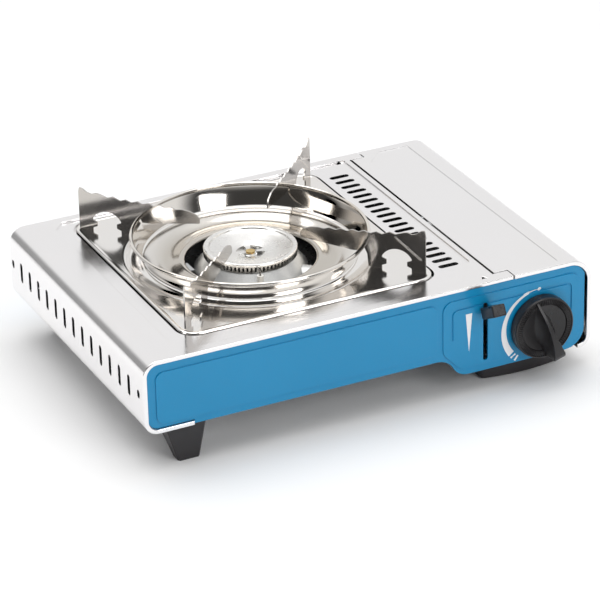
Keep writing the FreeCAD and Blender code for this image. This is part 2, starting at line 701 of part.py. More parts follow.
shape_part("case_shell", case_shell())
shape_part("base_pan", base_pan())
shape_part("front_panel", front_panel())
shape_part("rear_panel", rear_panel())
shape_part("foot_front_left", left_foot(False))
shape_part("foot_rear_left", left_foot(True))
shape_part("foot_front_right", right_foot(False))
shape_part("foot_rear_right", right_foot(True))
shape_part("foot_screws", foot_screws())

# ================================================================ cartridge bay
BAY_FLOOR = S.bay_floor + 2 * S.gauge
BAY_WALL_X = SHELL_EDGE - 2 * S.gauge
HINGE_X = at_x(S.lid_edge + S.hinge_from_edge)
HINGE_Z = S.case_top - S.gauge - S.hinge_cover - S.hinge_pin_radius
HINGE_TAB_Y = S.notch_depth + 1.2
HINGE_TAB = 1.2
CAN_X = -at_x(S.can_from_right)
CAN_Z = BAY_FLOOR + S.can_clear + S.can_radius


def cartridge_lid():
    """Cover of the bay: top, right side and the turned-in lower edge, with hemmed rims."""
    gauge, bead = float(S.gauge), float(S.bead_width)
    front, back = float(CASE_FRONT), float(CASE_BACK)
    outer = case_section(0, 0)
    wall = outer.cut(case_section(gauge, gauge))
    hem = outer.cut(case_section(bead, bead))
    lower_edge = -at_x(S.lid_corner_low + 1)
    keep_top = slab(at_x(S.lid_edge), FAR, -FAR, FAR, MID_HEIGHT, FAR)
    keep_side = slab(lower_edge, FAR, -FAR, FAR, 0, MID_HEIGHT + 1)
    lid = along_y(wall, front, back)
    for start, end in ((front, front + float(INSIDE)), (back - float(INSIDE), back)):
        lid = lid.fuse(along_y(hem, start, end))
    lid = lid.common(keep_top.fuse(keep_side))
    rear_notch = CASE_BACK - S.notch_depth
    for y0, y1 in ((CASE_FRONT - 1, NOTCH_Y + S.notch_gap), (rear_notch - S.notch_gap, CASE_BACK + 1)):
        lid = lid.cut(slab(at_x(S.lid_edge) - 1, NOTCH_X + S.notch_gap, y0, y1, MID_HEIGHT, FAR))
    # Shallow pressed field of the top, with a cut corner at the front left and the back left.
    depth = float(S.lid_press_depth)
    lid = lid.fuse(lid_press(gauge, S.case_top - S.gauge - depth, S.case_top))
    lid = lid.cut(lid_press(0, S.case_top - depth, S.case_top + 1))
    hole = float(S.hinge_pin_radius + S.running_play)
    tab_left = HINGE_X - S.hinge_pin_radius - 0.8
    for y in (at_y(HINGE_TAB_Y), CASE_BACK - HINGE_TAB_Y - HINGE_TAB):
        tab = slab(tab_left, HINGE_X + 8, y, y + HINGE_TAB, HINGE_Z - 4, S.case_top - S.gauge)
        start = Vector(float(HINGE_X), float(y) - 4, float(HINGE_Z))
        bore = Part.makeCylinder(hole, 10, start, Vector(0, 1, 0))
        lid = lid.fuse(tab).cut(bore)
    return lid


def lid_press(grow, low, high):
    """The pressed field of the lid as a solid, its outline moved out by grow."""
    x0, x1 = float(at_x(S.lid_press_left)) - grow, float(-at_x(S.lid_press_right)) + grow
    y0, y1 = float(at_y(S.lid_press_front)) - grow, float(CASE_BACK - S.lid_press_front) + grow
    nick = float(S.lid_press_nick)
    corners = [(x0 + nick, y0), (x1, y0), (x1, y1), (x0 + nick, y1), (x0, y1 - nick), (x0, y0 + nick)]
    outline = Part.makePolygon([Vector(x, y, float(low)) for x, y in corners + corners[:1]])
    return Part.Face(outline).extrude(Vector(0, 0, float(high) - float(low)))


def bay_wall():
    """Upright sheet between the burner and the cartridge, with a foot along the floor."""
    start, end = at_y(S.bulkhead_y), CASE_BACK - INSIDE
    wall = slab(BAY_WALL_X, BAY_WALL_X + S.gauge, start, end, BAY_FLOOR, S.case_top - S.gauge)
    foot = slab(BAY_WALL_X - 8, BAY_WALL_X, start, end, BAY_FLOOR, BAY_FLOOR + S.gauge)
    wall = wall.fuse(foot)
    holes = []
    for i in range(5):
        y = float(start) + 30 + i * 35
        holes.append(slab(BAY_WALL_X - 1, BAY_WALL_X + 2, y, y + 18, S.case_top - 29.5, S.case_top - 21.5))
    return wall.cut(holes)


def valve_bulkhead():
    """Cross wall that carries the regulator in front and the cartridge collar behind."""
    x0, x1 = BAY_WALL_X + S.gauge, -at_x(S.lid_corner_low + 4) - S.gauge
    y0 = at_y(S.bulkhead_y)
    wall = slab(x0, x1, y0, y0 + S.gauge, BAY_FLOOR, S.case_top - 9.5)
    foot = slab(x0, x1, y0 - 6, y0, BAY_FLOOR, BAY_FLOOR + S.gauge)
    port = Part.makeCylinder(5, 10, Vector(float(CAN_X), float(y0) - 5, float(CAN_Z)), Vector(0, 1, 0))
    return wall.fuse(foot).cut(port)


def cartridge_cradle():
    """Two low rails on the bay floor that the cartridge lies between."""
    rails = []
    half, height, base = 20.0, 5.0, 5.0
    for side in (-1, 1):
        x = float(CAN_X) + side * half
        y0, y1 = float(at_y(S.bulkhead_y)) + 14, float(CASE_BACK - INSIDE) - 14
        upright = slab(x - 0.4, x + 0.4, y0, y1, BAY_FLOOR, BAY_FLOOR + height)
        x0, x1 = min(x, x + side * base), max(x, x + side * base)
        flange = slab(x0, x1, y0, y1, BAY_FLOOR, BAY_FLOOR + S.gauge)
        rails.append(upright.fuse(flange))
    return Part.makeCompound(rails)


def cartridge_slider():
    """Plate under the cartridge whose upturned end pushes it onto the valve."""
    half, play, plate = 16.0, 0.3, 1.0
    y1 = CASE_BACK - INSIDE - 4
    y0 = at_y(S.bulkhead_y + S.can_travel + 9)
    low = BAY_FLOOR + play
    plate_solid = slab(CAN_X - half, CAN_X + half, y0, y1, low, low + plate)
    end = slab(CAN_X - half, CAN_X + half, y1 - 1, y1, low, low + 22)
    grip = slab(CAN_X - 8, CAN_X + 8, y1 - 4, y1, low + 21, low + 22)
    return plate_solid.fuse(end).fuse(grip)


shape_part("cartridge_lid", cartridge_lid())
shape_part("bay_wall", bay_wall())
shape_part("valve_bulkhead", valve_bulkhead())
shape_part("cartridge_cradle", cartridge_cradle())
shape_part("cartridge_slider", cartridge_slider())

PIN_LENGTH = HINGE_TAB_Y + HINGE_TAB + 1 - INSIDE
REAR_PIN_Y = CASE_BACK - INSIDE - PIN_LENGTH
keep(rod("LidPinFront", "y", (HINGE_X, at_y(INSIDE), HINGE_Z), PIN_LENGTH, S.hinge_pin_radius),
     "lid_pin_front")
keep(rod("LidPinRear", "y", (HINGE_X, REAR_PIN_Y, HINGE_Z), PIN_LENGTH, S.hinge_pin_radius),
     "lid_pin_rear")

# ================================================================ valve, knob, igniter
VALVE_BACK = at_y(S.bulkhead_y)
VALVE_FRONT = VALVE_BACK - S.valve_depth
VALVE_LEFT = KNOB_X - S.valve_width / 2
VALVE_LOW = S.knob_z - S.valve_below_knob
VALVE_HIGH = S.case_top - S.valve_headroom
PIPE_Y = VALVE_FRONT + S.valve_depth / 2 - 1
BUSH = 5.0

# Regulator body: die-cast block with a front bush for the spindle and a rear gas port.
valve_block = block("ValveBlock", (VALVE_LEFT, VALVE_FRONT, VALVE_LOW),
                    (VALVE_LEFT + S.valve_width, VALVE_BACK, VALVE_HIGH))
valve_bush = rod("ValveBush", "y", (KNOB_X, VALVE_FRONT - BUSH, S.knob_z), BUSH, S.spindle_radius + 4)
valve_drum = rod("ValveDrum", "z", (KNOB_X, VALVE_FRONT + S.valve_depth / 2, VALVE_HIGH), 3, 15)
valve_solid = fuse("ValveSolid", [valve_block, valve_bush, valve_drum])
valve_bore = rod("ValveBore", "y", (KNOB_X, VALVE_FRONT - BUSH - 1, S.knob_z), BUSH + 13,
                 S.spindle_radius + S.running_play)
valve_port = rod("ValvePort", "y", (CAN_X, VALVE_BACK - 8, CAN_Z), 9, 3.5)
valve_holes = fuse("ValveHoles", [valve_bore, valve_port])
keep(cut("RegulatorBody", valve_solid, valve_holes), "regulator_body")

# Valve spindle, turned by the knob. It stops inside the knob's hub.
SPINDLE_GRIP = Size(9.6)
SPINDLE_FRONT = CASE_FRONT - S.knob_ahead - SPINDLE_GRIP
SPINDLE_LENGTH = VALVE_FRONT + 11 - SPINDLE_FRONT
keep(rod("ValveSpindle", "y", (KNOB_X, SPINDLE_FRONT, S.knob_z), SPINDLE_LENGTH, S.spindle_radius),
     "valve_spindle")


def gas_knob():
    """Skirted knob: fluted disc and a grip bar that is highest near its middle."""
    body = new_body("gas_knob", KNOB_X, CASE_FRONT - S.knob_ahead, S.knob_z)
    # Own frame: Z towards the user and Y up, then the whole knob leans by its rest angle.
    lean = Rotation(Vector(0, -1, 0), float(S.knob_tilt))
    body.Placement.Rotation = lean * Rotation(Vector(1, 0, 0), 90)
    skirt = new_sketch(body, "XZ_Plane")
    r, d = S.knob_radius, S.knob_skirt
    draw_polygon(skirt, [(0, 0), (r, 0), (r, d - 1.4), (r - 1.4, d), (r - 4, d), (r - 5.5, d - 0.8),
                         (0, d - 0.8)])
    add_turned(body, skirt)
    bar = new_sketch(body, "YZ_Plane", -S.bar_width / 2)
    top = S.knob_reach - S.knob_ahead
    draw_polygon(bar, [(0.8 - r, d - 2), (0.8 - r, top - 8), (6 - r, top - 2), (16 - r, top),
                       (4, top - 0.6), (r - 10, top - 6), (r - 2.4, d), (r - 2.4, d - 2)])
    add_pad(body, bar, S.bar_width)
    bore = new_sketch(body, "XY_Plane")
    draw_circle(bore, 0, 0, S.spindle_radius)
    add_pocket(body, bore, SPINDLE_GRIP, True)
    flute = new_sketch(body, "XY_Plane")
    draw_circle(flute, r + 0.5, 0, 0.9)
    groove = add_pocket(body, flute, d - 1.4, True)
    add_ring_of(body, groove, "Z_Axis", S.flute_count)
    return keep(body, "gas_knob")


gas_knob()

# Collar and rubber seal that the cartridge's nozzle enters.
collar_y = VALVE_BACK + S.gauge
COLLAR_DEPTH = 6.0
SEAL_DEPTH = 2.0
collar_disc = rod("CollarDisc", "y", (CAN_X, collar_y, CAN_Z), COLLAR_DEPTH, 16)
collar_throat = rod("CollarThroat", "y", (CAN_X, collar_y - 1, CAN_Z), COLLAR_DEPTH + 2, 3.5)
collar_seat = rod("CollarSeat", "y", (CAN_X, collar_y + 2, CAN_Z), COLLAR_DEPTH, 7)
collar_holes = fuse("CollarHoles", [collar_throat, collar_seat])
keep(cut("CartridgeCollar", collar_disc, collar_holes), "cartridge_collar")
seal_disc = rod("SealDisc", "y", (CAN_X, collar_y + 2, CAN_Z), SEAL_DEPTH, 6.9)
seal_hole = rod("SealHole", "y", (CAN_X, collar_y + 1, CAN_Z), SEAL_DEPTH + 2, 3)
keep(cut("NozzleSeal", seal_disc, seal_hole), "nozzle_seal")

# Piezo igniter clipped to the side of the regulator.
igniter_x = VALVE_LEFT + S.valve_width
igniter_case = block("IgniterCase", (igniter_x, VALVE_FRONT + 2, S.knob_z + 2),
                     (igniter_x + 9, VALVE_BACK - 4, S.knob_z + 16))
igniter_stub = rod("IgniterStub", "y", (igniter_x + 4.5, VALVE_BACK - 4, S.knob_z + 9), 3, 2.5)
keep(fuse("PiezoIgniter", [igniter_case, igniter_stub]), "piezo_igniter")

# ================================================================ lock lever
LEVER_X = at_x(S.lever_x)
LEVER_Y = at_y(S.lever_pivot_y)
EAR = 0.8
HUB_HALF = 2.0
EAR_GAP = 0.2


def lever_turn(shape):
    """Swing a shape drawn along -Y from the pivot up to the rest angle and into place."""
    shape.rotate(Vector(), Vector(1, 0, 0), -float(S.lever_rest_angle))
    shape.translate(Vector(float(LEVER_X), float(LEVER_Y), float(S.lever_pivot_z)))
    return shape


def lock_lever():
    half, width = float(S.lever_gauge) / 2, float(S.lever_width)
    reach = float(S.handle_start) + 12
    blade = slab(-half, half, -reach, 0, -width / 2, width / 2)
    eye = Part.makeCylinder(width / 2 + 1, 2 * HUB_HALF, Vector(-HUB_HALF, 0, 0), Vector(1, 0, 0))
    tail = slab(-half, half, -3, 3, 0, 15)
    hole = float(S.lever_pin_radius + S.running_play)
    bore = Part.makeCylinder(hole, 20, Vector(-10, 0, 0), Vector(1, 0, 0))
    return lever_turn(blade.fuse(eye).fuse(tail).cut(bore))


def lever_handle():
    half, width = float(S.lever_gauge) / 2, float(S.lever_width)
    hw, hh = float(S.handle_width) / 2, float(S.handle_height) / 2
    start, end = float(S.handle_start), float(S.handle_start + S.handle_length)
    grip = slab(-hw, hw, -end, -start, -hh, hh)
    grip = grip.makeFillet(1.2, grip.Edges)
    socket = slab(-half, half, -start - 12, -start + 2, -width / 2, width / 2)
    return lever_turn(grip.cut(socket))


def lever_bracket():
    """U bracket on the bay floor with an ear on each side of the lever."""
    inner = HUB_HALF + EAR_GAP
    y0, y1 = LEVER_Y - 7, LEVER_Y + 7
    top = S.lever_pivot_z + 7
    base = slab(LEVER_X - inner - EAR, LEVER_X + inner + EAR, y0, y1, BAY_FLOOR, BAY_FLOOR + 1)
    ears = [slab(LEVER_X - inner - EAR, LEVER_X - inner, y0, y1, BAY_FLOOR, top),
            slab(LEVER_X + inner, LEVER_X + inner + EAR, y0, y1, BAY_FLOOR, top)]
    start = Vector(float(LEVER_X) - 15, float(LEVER_Y), float(S.lever_pivot_z))
    bore = Part.makeCylinder(float(S.lever_pin_radius), 30, start, Vector(1, 0, 0))
    return base.fuse(ears).cut(bore)


shape_part("lock_lever", lock_lever())
shape_part("lever_handle", lever_handle())
shape_part("lever_bracket", lever_bracket())
pin_half = HUB_HALF + EAR_GAP + EAR + 0.8
pin_start = (LEVER_X - pin_half, LEVER_Y, S.lever_pivot_z)
keep(rod("LeverPin", "x", pin_start, Size(2 * pin_half), S.lever_pin_radius), "lever_pin")

# ================================================================ burner
def turned_body(label, profile):
    """A body on the burner axis turned from a closed (radius, height) profile."""
    body = new_body(label, RING_X, RING_Y)
    sketch = new_sketch(body, "XZ_Plane")
    draw_polygon(sketch, profile)
    add_turned(body, sketch)
    return body


# The mixing tube runs from the burner towards the jet, which stands beside the lever.
JET_X, JET_Y = at_x(262), PIPE_Y + 6
tube_line = Vector(float(JET_X - RING_X), float(JET_Y - RING_Y), 0)
JET_DISTANCE = tube_line.Length
tube_line.normalize()
BOSS_START, BOSS_END = 30.0, 52.0
TUBE_Z = S.case_top - S.tube_drop


def tube_spot(distance):
    return Vector(float(RING_X), float(RING_Y), float(TUBE_Z)) + tube_line * distance


def along_tube(start, end, radius):
    """A cylinder on the mixing tube's line, distances counted from the burner axis."""
    return Part.makeCylinder(float(radius), end - start, tube_spot(start), tube_line)


CAP_TOP = S.case_top + S.cap_rise
CAP_LOW = CAP_TOP - S.cap_skirt
SEAT_Z = CAP_TOP - S.cap_dish - 0.8
BASE = CAP_TOP - S.bell_height
bell = turned_body("burner_bell_blank", [
    (14, BASE), (30, BASE + 2.4), (S.bell_radius - 1, BASE + 13.4), (S.bell_radius, BASE + 18.9),
    (S.cap_radius - 1, CAP_LOW - 1),
    (S.cap_radius - 1, CAP_LOW), (S.cap_radius - 3, CAP_LOW), (S.cap_radius - 3, CAP_LOW - 1.5),
    (S.bell_radius - 2.4, BASE + 18.4), (S.bell_radius - 3.2, BASE + 14.4), (29, BASE + 4.9),
    (12, BASE + 3.4), (4, BASE + 3.4), (4, BASE + 20.4), (S.cap_screw_radius + 0.1, BASE + 20.4),
    (S.cap_screw_radius + 0.1, BASE + 8.4), (0, BASE + 8.4), (0, BASE)])
inlet_boss = doc.addObject("Part::Feature", "InletBoss")
inlet_boss.Shape = along_tube(BOSS_START, BOSS_END, S.tube_radius + 2)
inlet_bore = doc.addObject("Part::Feature", "InletBore")
inlet_bore.Shape = along_tube(BOSS_START - 6, BOSS_END + 1, S.tube_radius - 1)
keep(cut("BurnerBody", fuse("BurnerBlank", [bell, inlet_boss]), inlet_bore), "burner_body")


SCREW_HEAD_HEIGHT = 1.5


def burner_cap():
    """Dished cap with a ring of flame ports cut through its skirt."""
    top, seat = CAP_TOP, SEAT_Z
    body = turned_body("burner_cap", [
        (0, seat), (10.5, seat), (11.5, seat + 1.1), (26, top - 2.6), (30.8, top - 1.4), (32, top),
        (S.cap_radius, top), (S.cap_radius, CAP_LOW), (S.cap_radius - 2.2, CAP_LOW),
        (S.cap_radius - 2.2, top - 3.2), (26, top - 4.4), (12, seat - 1.2), (0, seat - 1.6)])
    port = new_sketch(body, "YZ_Plane", S.cap_radius - 5)
    half = S.port_width / 2
    draw_polygon(port, [(-half, CAP_LOW - 1), (half, CAP_LOW - 1), (half, CAP_LOW + S.port_height),
                        (-half, CAP_LOW + S.port_height)])
    cutter = add_pocket(body, port, Size(7), True)
    add_ring_of(body, cutter, "Z_Axis", S.port_count)
    # Four low ribs in the middle, from the screw's seat to the dish.
    for across, along in ((Size(1.3), Size(11)), (Size(11), Size(1.3))):
        ribs = new_sketch(body, "XY_Plane", seat)
        draw_polygon(ribs, [(-along, -across), (along, -across), (along, across), (-along, across)])
        add_pad(body, ribs, Size(1.0))
    seat_hole = new_sketch(body, "XY_Plane", seat)
    draw_circle(seat_hole, 0, 0, Size(4.2))
    add_pocket(body, seat_hole, Size(2), True)
    hole = new_sketch(body, "XY_Plane")
    draw_circle(hole, 0, 0, S.cap_screw_radius + 0.1)
    add_pocket(body, hole, top + 5, True)
    return keep(body, "burner_cap")


burner_cap()
screw_head = rod("BurnerScrewHead", "z", (RING_X, RING_Y, SEAT_Z), SCREW_HEAD_HEIGHT, 3.4)
screw_shank = rod("BurnerScrewShank", "z", (RING_X, RING_Y, SEAT_Z - 14), 15, S.cap_screw_radius)
keep(fuse("BurnerScrew", [screw_head, screw_shank]), "burner_screw")


def mixing_tube():
    """Thin tube with a wide air inlet, from the burner's inlet boss to the jet."""
    radius, wall = float(S.tube_radius), 1.0
    mouth = JET_DISTANCE - 4
    tube = along_tube(BOSS_END, mouth, radius).fuse(along_tube(mouth - 14, mouth, radius + 2))
    tube = tube.cut(along_tube(BOSS_END - 1, mouth + 1, radius - wall))
    tube = tube.cut(along_tube(mouth - 13, mouth + 1, radius + 1))
    ports = along_tube(mouth - 10, mouth - 4, radius + 5)
    return tube.cut(ports.common(slab(-FAR, FAR, -FAR, FAR, TUBE_Z - 4, TUBE_Z + 4)))


def gas_jet():
    nose = along_tube(JET_DISTANCE - 9, JET_DISTANCE - 2, 2.2)
    jet = nose.fuse(along_tube(JET_DISTANCE - 2, JET_DISTANCE + 3, 5))
    return jet.cut(along_tube(JET_DISTANCE - 10, JET_DISTANCE - 6, 0.6))


def gas_pipe():
    """Bent pipe from the regulator over the lever to the jet."""
    z = float(TUBE_Z)
    start = tube_spot(JET_DISTANCE + 3)
    corner = tube_spot(JET_DISTANCE + float(PIPE_Y - JET_Y) / tube_line.y)
    end = Vector(float(VALVE_LEFT), float(PIPE_Y), z)
    onward = (end - corner).normalize()
    half_turn = math.acos(tube_line.dot(onward)) / 2
    bend = 12.0
    cut_back = bend * math.tan(half_turn)
    a, b = corner - tube_line * cut_back, corner + onward * cut_back
    inward = (onward - tube_line).normalize()
    middle = corner + inward * (bend / math.cos(half_turn) - bend)
    path = Part.Wire([Part.LineSegment(start, a).toShape(), Part.Arc(a, middle, b).toShape(),
                      Part.LineSegment(b, end).toShape()])
    rim = Part.Wire(Part.Circle(start, tube_line, float(S.pipe_radius)).toShape())
    return path.makePipeShell([rim], True, False)


PAN_TOP = S.left_floor + 2 * S.gauge


def burner_bracket():
    """Bridge over the case floor: the burner sits on it, and a tab steadies the bell."""
    rx, ry, t = float(RING_X), float(RING_Y), 1.2
    base = float(BASE)
    under, tab_top = base - t, float(REST_Z) - 8
    leg, half_low, half_high = 62.0, 8.0, 19.5
    strap = slab(rx - leg, rx + leg, ry - half_low, ry + half_high, under, base)
    left = slab(rx - leg, rx - leg + t, ry - half_low, ry + half_high, PAN_TOP, base)
    right = slab(rx + leg - t, rx + leg, ry - half_low, ry + half_high, PAN_TOP, base)
    left_foot_plate = slab(rx - leg - 10, rx - leg + t, ry - half_low, ry + half_high, PAN_TOP, PAN_TOP + t)
    right_foot_plate = slab(rx + leg - t, rx + leg + 10, ry - half_low, ry + half_high, PAN_TOP, PAN_TOP + t)
    tab_leg = slab(rx - leg, rx - leg + t, ry + 6, ry + half_high, under, tab_top)
    tab = slab(rx - leg, rx - float(S.bell_radius) - 0.6, ry + 6, ry + half_high, tab_top - t,
               tab_top)
    ex, ey = electrode_spot()
    finger = slab(ex - 5, ex + 5, ey - 5, ry - half_low, under, base)
    bracket = strap.fuse([left, right, left_foot_plate, right_foot_plate, tab_leg, tab, finger])
    hole = Part.makeCylinder(ELECTRODE_RADIUS + 0.05, 20, Vector(ex, ey, under - 10), Vector(0, 0, 1))
    return bracket.cut(hole)


ELECTRODE_RADIUS = 2.5
ELECTRODE_WIRE = 0.6


def electrode_spot():
    """Electrode axis: in front of the bell, inside the tray's burner hole."""
    reach = float(S.bell_radius) + ELECTRODE_RADIUS + 0.4
    angle = math.radians(254)
    return float(RING_X) + reach * math.cos(angle), float(RING_Y) + reach * math.sin(angle)


def spark_electrode():
    x, y = electrode_spot()
    base = float(BASE)
    length = float(S.bell_height) + 3.7
    stick = Part.makeCylinder(ELECTRODE_RADIUS, length, Vector(x, y, base - 7.6), Vector(0, 0, 1))
    collar = Part.makeCylinder(ELECTRODE_RADIUS + 1.3, 2.4, Vector(x, y, base), Vector(0, 0, 1))
    bore = Part.makeCylinder(ELECTRODE_WIRE, 60, Vector(x, y, base - 17.6), Vector(0, 0, 1))
    return stick.fuse(collar).cut(bore)


def electrode_wire():
    """Wire through the ceramic, bent over towards the ports."""
    x, y = electrode_spot()
    toward = Vector(float(RING_X) - x, float(RING_Y) - y, 0).normalize()
    foot, knee = Vector(x, y, float(BASE) - 11.6), Vector(x, y, float(CAP_TOP) - 3)
    bend_radius = 1.6
    elbow = knee + toward * bend_radius + Vector(0, 0, bend_radius)
    shift = 1 - math.sqrt(0.5)
    middle = knee + toward * bend_radius * shift + Vector(0, 0, bend_radius * (1 - shift))
    bend = Part.Arc(knee, middle, elbow).toShape()
    path = Part.Wire([Part.LineSegment(foot, knee).toShape(), bend,
                      Part.LineSegment(elbow, elbow + toward * 4).toShape()])
    rim = Part.Wire(Part.Circle(foot, Vector(0, 0, 1), ELECTRODE_WIRE).toShape())
    return path.makePipeShell([rim], True, False)


shape_part("mixing_tube", mixing_tube())
shape_part("gas_jet", gas_jet())
shape_part("gas_pipe", gas_pipe())
shape_part("burner_bracket", burner_bracket())
shape_part("spark_electrode", spark_electrode())
shape_part("electrode_wire", electrode_wire())


# ================================================================ drip tray, wind shield, pan arms
HOLE = S.bell_radius + S.hole_play
SHIELD_LOW = REST_Z + S.tray_gauge + S.shield_lift
SHIELD_TOP = SHIELD_LOW + S.shield_height
PAN_LEVEL = S.case_top + S.pan_rise


def drip_tray():
    """Square flange that rests in the sunk field, and a shallow dish round the burner hole."""
    rest, t = REST_Z, S.tray_gauge
    lip = Size(95.0)
    slope_top = Size(72.0)
    slope = slope_top - HOLE
    outline = [(lip + 0.5, rest + t), (lip, rest + t), (91, rest - 2.8), (85, rest - 3.2), (81.5, rest - 1.2),
               (78, rest - 1.4), (slope_top, rest - 2.6), (HOLE + slope * 0.73, rest - 5),
               (HOLE + slope * 0.47, rest - 5.4), (HOLE + slope * 0.3, rest - 4),
               (HOLE + slope * 0.14, rest - 3.4), (HOLE, rest - 4.2)]
    under = [(r, z - t) for r, z in reversed(outline)]
    body = turned_body("drip_tray", outline + under)
    flange = new_sketch(body, "XY_Plane", rest)
    draw_rounded_rectangle(flange, at_x(S.tray_left) - RING_X, at_y(S.tray_front) - RING_Y,
                           S.tray_width, S.tray_depth, S.tray_corner)
    draw_circle(flange, 0, 0, lip)
    add_pad(body, flange, t)
    edge = new_sketch(body, "XY_Plane", rest - S.gutter_depth)
    for inset in (Size(0), t):
        draw_rounded_rectangle(edge, at_x(S.tray_left) - RING_X + inset, at_y(S.tray_front) - RING_Y + inset,
                               S.tray_width - 2 * inset, S.tray_depth - 2 * inset, S.tray_corner - inset)
    add_pad(body, edge, S.gutter_depth + t)
    return keep(body, "drip_tray")


def draw_rounded_rectangle(sketch, x0, y0, width, depth, radius):
    """Rectangle with equal round corners, its straight ends and arc centres tied to the sheet."""
    x1, y1 = x0 + width, y0 + depth
    corners = [(x0 + radius, y0 + radius, 180), (x1 - radius, y0 + radius, 270),
               (x1 - radius, y1 - radius, 0), (x0 + radius, y1 - radius, 90)]
    first = sketch.GeometryCount
    for cx, cy, start in corners:
        circle = Part.Circle(Vector(float(cx), float(cy), 0), Vector(0, 0, 1), float(radius))
        sketch.addGeometry(Part.ArcOfCircle(circle, math.radians(start), math.radians(start + 90)), False)
    for i in range(4):
        a = sketch.Geometry[first + i].EndPoint
        b = sketch.Geometry[first + (i + 1) % 4].StartPoint
        line = sketch.addGeometry(Part.LineSegment(a, b), False)
        sketch.addConstraint(Sketcher.Constraint("Tangent", first + i, 2, line, 1))
        sketch.addConstraint(Sketcher.Constraint("Tangent", line, 2, first + (i + 1) % 4, 1))
    for i, (cx, cy, _) in enumerate(corners):
        pin_point(sketch, first + i, 3, cx, cy)
    held = sketch.addConstraint(Sketcher.Constraint("Radius", first, float(radius)))
    sketch.setExpression(f"Constraints[{held}]", radius.text)


def wind_shield():
    low, high, foot, rim, t = SHIELD_LOW, SHIELD_TOP, S.shield_foot, S.shield_radius, S.shield_gauge
    return keep(turned_body("wind_shield", [
        (foot - t, low), (foot, low), (rim, high - 1.1), (rim, high), (rim - 1.2, high),
        (rim - 1.2, high - 1.1)]), "wind_shield")


def pan_arm(number):
    """One sheet arm on a diagonal of the tray: serrated top, raised tip, arched foot."""
    out, inner, rim = float(S.arm_reach), float(S.arm_inner), float(S.shield_radius)
    top, spike, notch = float(PAN_LEVEL), float(PAN_LEVEL + S.spike_rise), float(SHIELD_TOP)
    foot = float(REST_Z + S.tray_gauge)
    arch_out, arch_in = out - 11, out - 34

    def p(r, z):
        return Vector(r, 0, z)
    serrated = [p(out, foot), p(out, spike - 3.5), p(out - 0.8, spike), p(out - 3.5, spike - 0.4),
                p(out - 7, top + 1.9), p(out - 10.5, top + 0.8), p(out - 14, top + 2.0),
                p(out - 17, top + 1.6), p(out - 23.5, top - 0.7), p(out - 28, top + 0.7),
                p(out - 34, top - 1.8), p(out - 38.5, top - 0.4), p(out - 43, top - 2.1),
                p(out - 48, top - 0.7), p(out - 52, top - 2.3), p(out - 57, top - 1.0),
                p(out - 61, top - 2.7), p(out - 66, top - 1.4), p(out - 70, top - 3.0),
                p(out - 75, top - 1.8), p(out - 79, top - 3.3), p(out - 84, top - 2.6), p(inner + 8, top - 3.2),
                p(inner + 2, top - 5.8), p(inner, top - 8.5), p(inner, top - 12.4),
                p(inner + 16, notch - 0.9), p(rim - 10, notch - 4.1), p(rim - 3.5, notch - 4.1),
                p(rim - 2.2, notch - 1.1), p(rim - 1.7, notch), p(rim + 0.6, notch),
                p(rim + 0.6, notch - 1.5),
                p(rim + 2.5, notch - 5.5), p(rim + 3.5, foot), p(arch_in, foot), p(arch_in, foot + 2.4),
                p(arch_in + 3.5, foot + 3.9), p(arch_in + 3.5, foot + 7.4), p(arch_in, foot + 8.9),
                p(arch_in, foot + 9.9)]
    arch = Part.Arc(p(arch_in, foot + 9.9), p((arch_in + arch_out) / 2, foot + 16.9), p(arch_out, foot + 9.9))
    closing = [p(arch_out, foot + 9.9), p(arch_out, foot + 8.9), p(arch_out - 3.5, foot + 7.4),
               p(arch_out - 3.5, foot + 3.9), p(arch_out, foot + 2.4), p(arch_out, foot), p(out, foot)]
    wire = Part.Wire(Part.makePolygon(serrated).Edges + [arch.toShape()] + Part.makePolygon(closing).Edges)
    arm = Part.Face(wire).extrude(Vector(0, float(S.arm_gauge), 0))
    arm.translate(Vector(0, -float(S.arm_gauge) / 2, 0))
    # Stiffening rib across the outer plate, over the arch.
    start = p(out - 24, top - 2.5) - Vector(0, float(S.arm_gauge) / 2 - 0.3, 0)
    slant = Vector(20.5, 0, -16.5)
    arm = arm.fuse(Part.makeCylinder(0.9, slant.Length, start, slant))
    arm.rotate(Vector(), Vector(0, 0, 1), 45 + 90 * number)
    arm.translate(Vector(float(RING_X), float(RING_Y), 0))
    return arm


drip_tray()
wind_shield()
for number, name in enumerate(("rear_right", "rear_left", "front_left", "front_right")):
    shape_part(f"pan_arm_{name}", pan_arm(number))


# ================================================================ checks and export
doc.recompute()
for thing in doc.Objects:
    if "Invalid" in thing.State or "Error" in thing.State:
        raise RuntimeError(f"{thing.Name} did not recompute: {thing.State}")
for thing in PARTS:
    if thing.Shape.isNull() or not thing.Shape.isValid() or thing.Shape.Volume <= 0:
        raise RuntimeError(f"{thing.Label} has no valid shape")

os.makedirs("parts", exist_ok=True)
for thing in PARTS:
    thing.Shape.exportStep(f"parts/{thing.Label}.step")
    box = thing.Shape.BoundBox
    print(f"{thing.Label:22s} solids {len(thing.Shape.Solids):2d}  volume {thing.Shape.Volume:10.1f}  "
          f"x {box.XMin:7.1f} {box.XMax:7.1f}  y {box.YMin:7.1f} {box.YMax:7.1f}  "
          f"z {box.ZMin:6.1f} {box.ZMax:6.1f}")
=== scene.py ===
# %% [markdown]
# # A camping stove in cells
#
# This lesson dresses a working model of a small gas stove. The model arrives as a fixed frame of
# metal parts, each at its real place and size. The cells below soften, replace and paint those
# parts until they look like pressed steel, enamel, plastic and brass.

import json
import math

import bmesh
import bpy
from mathutils import Matrix, Vector


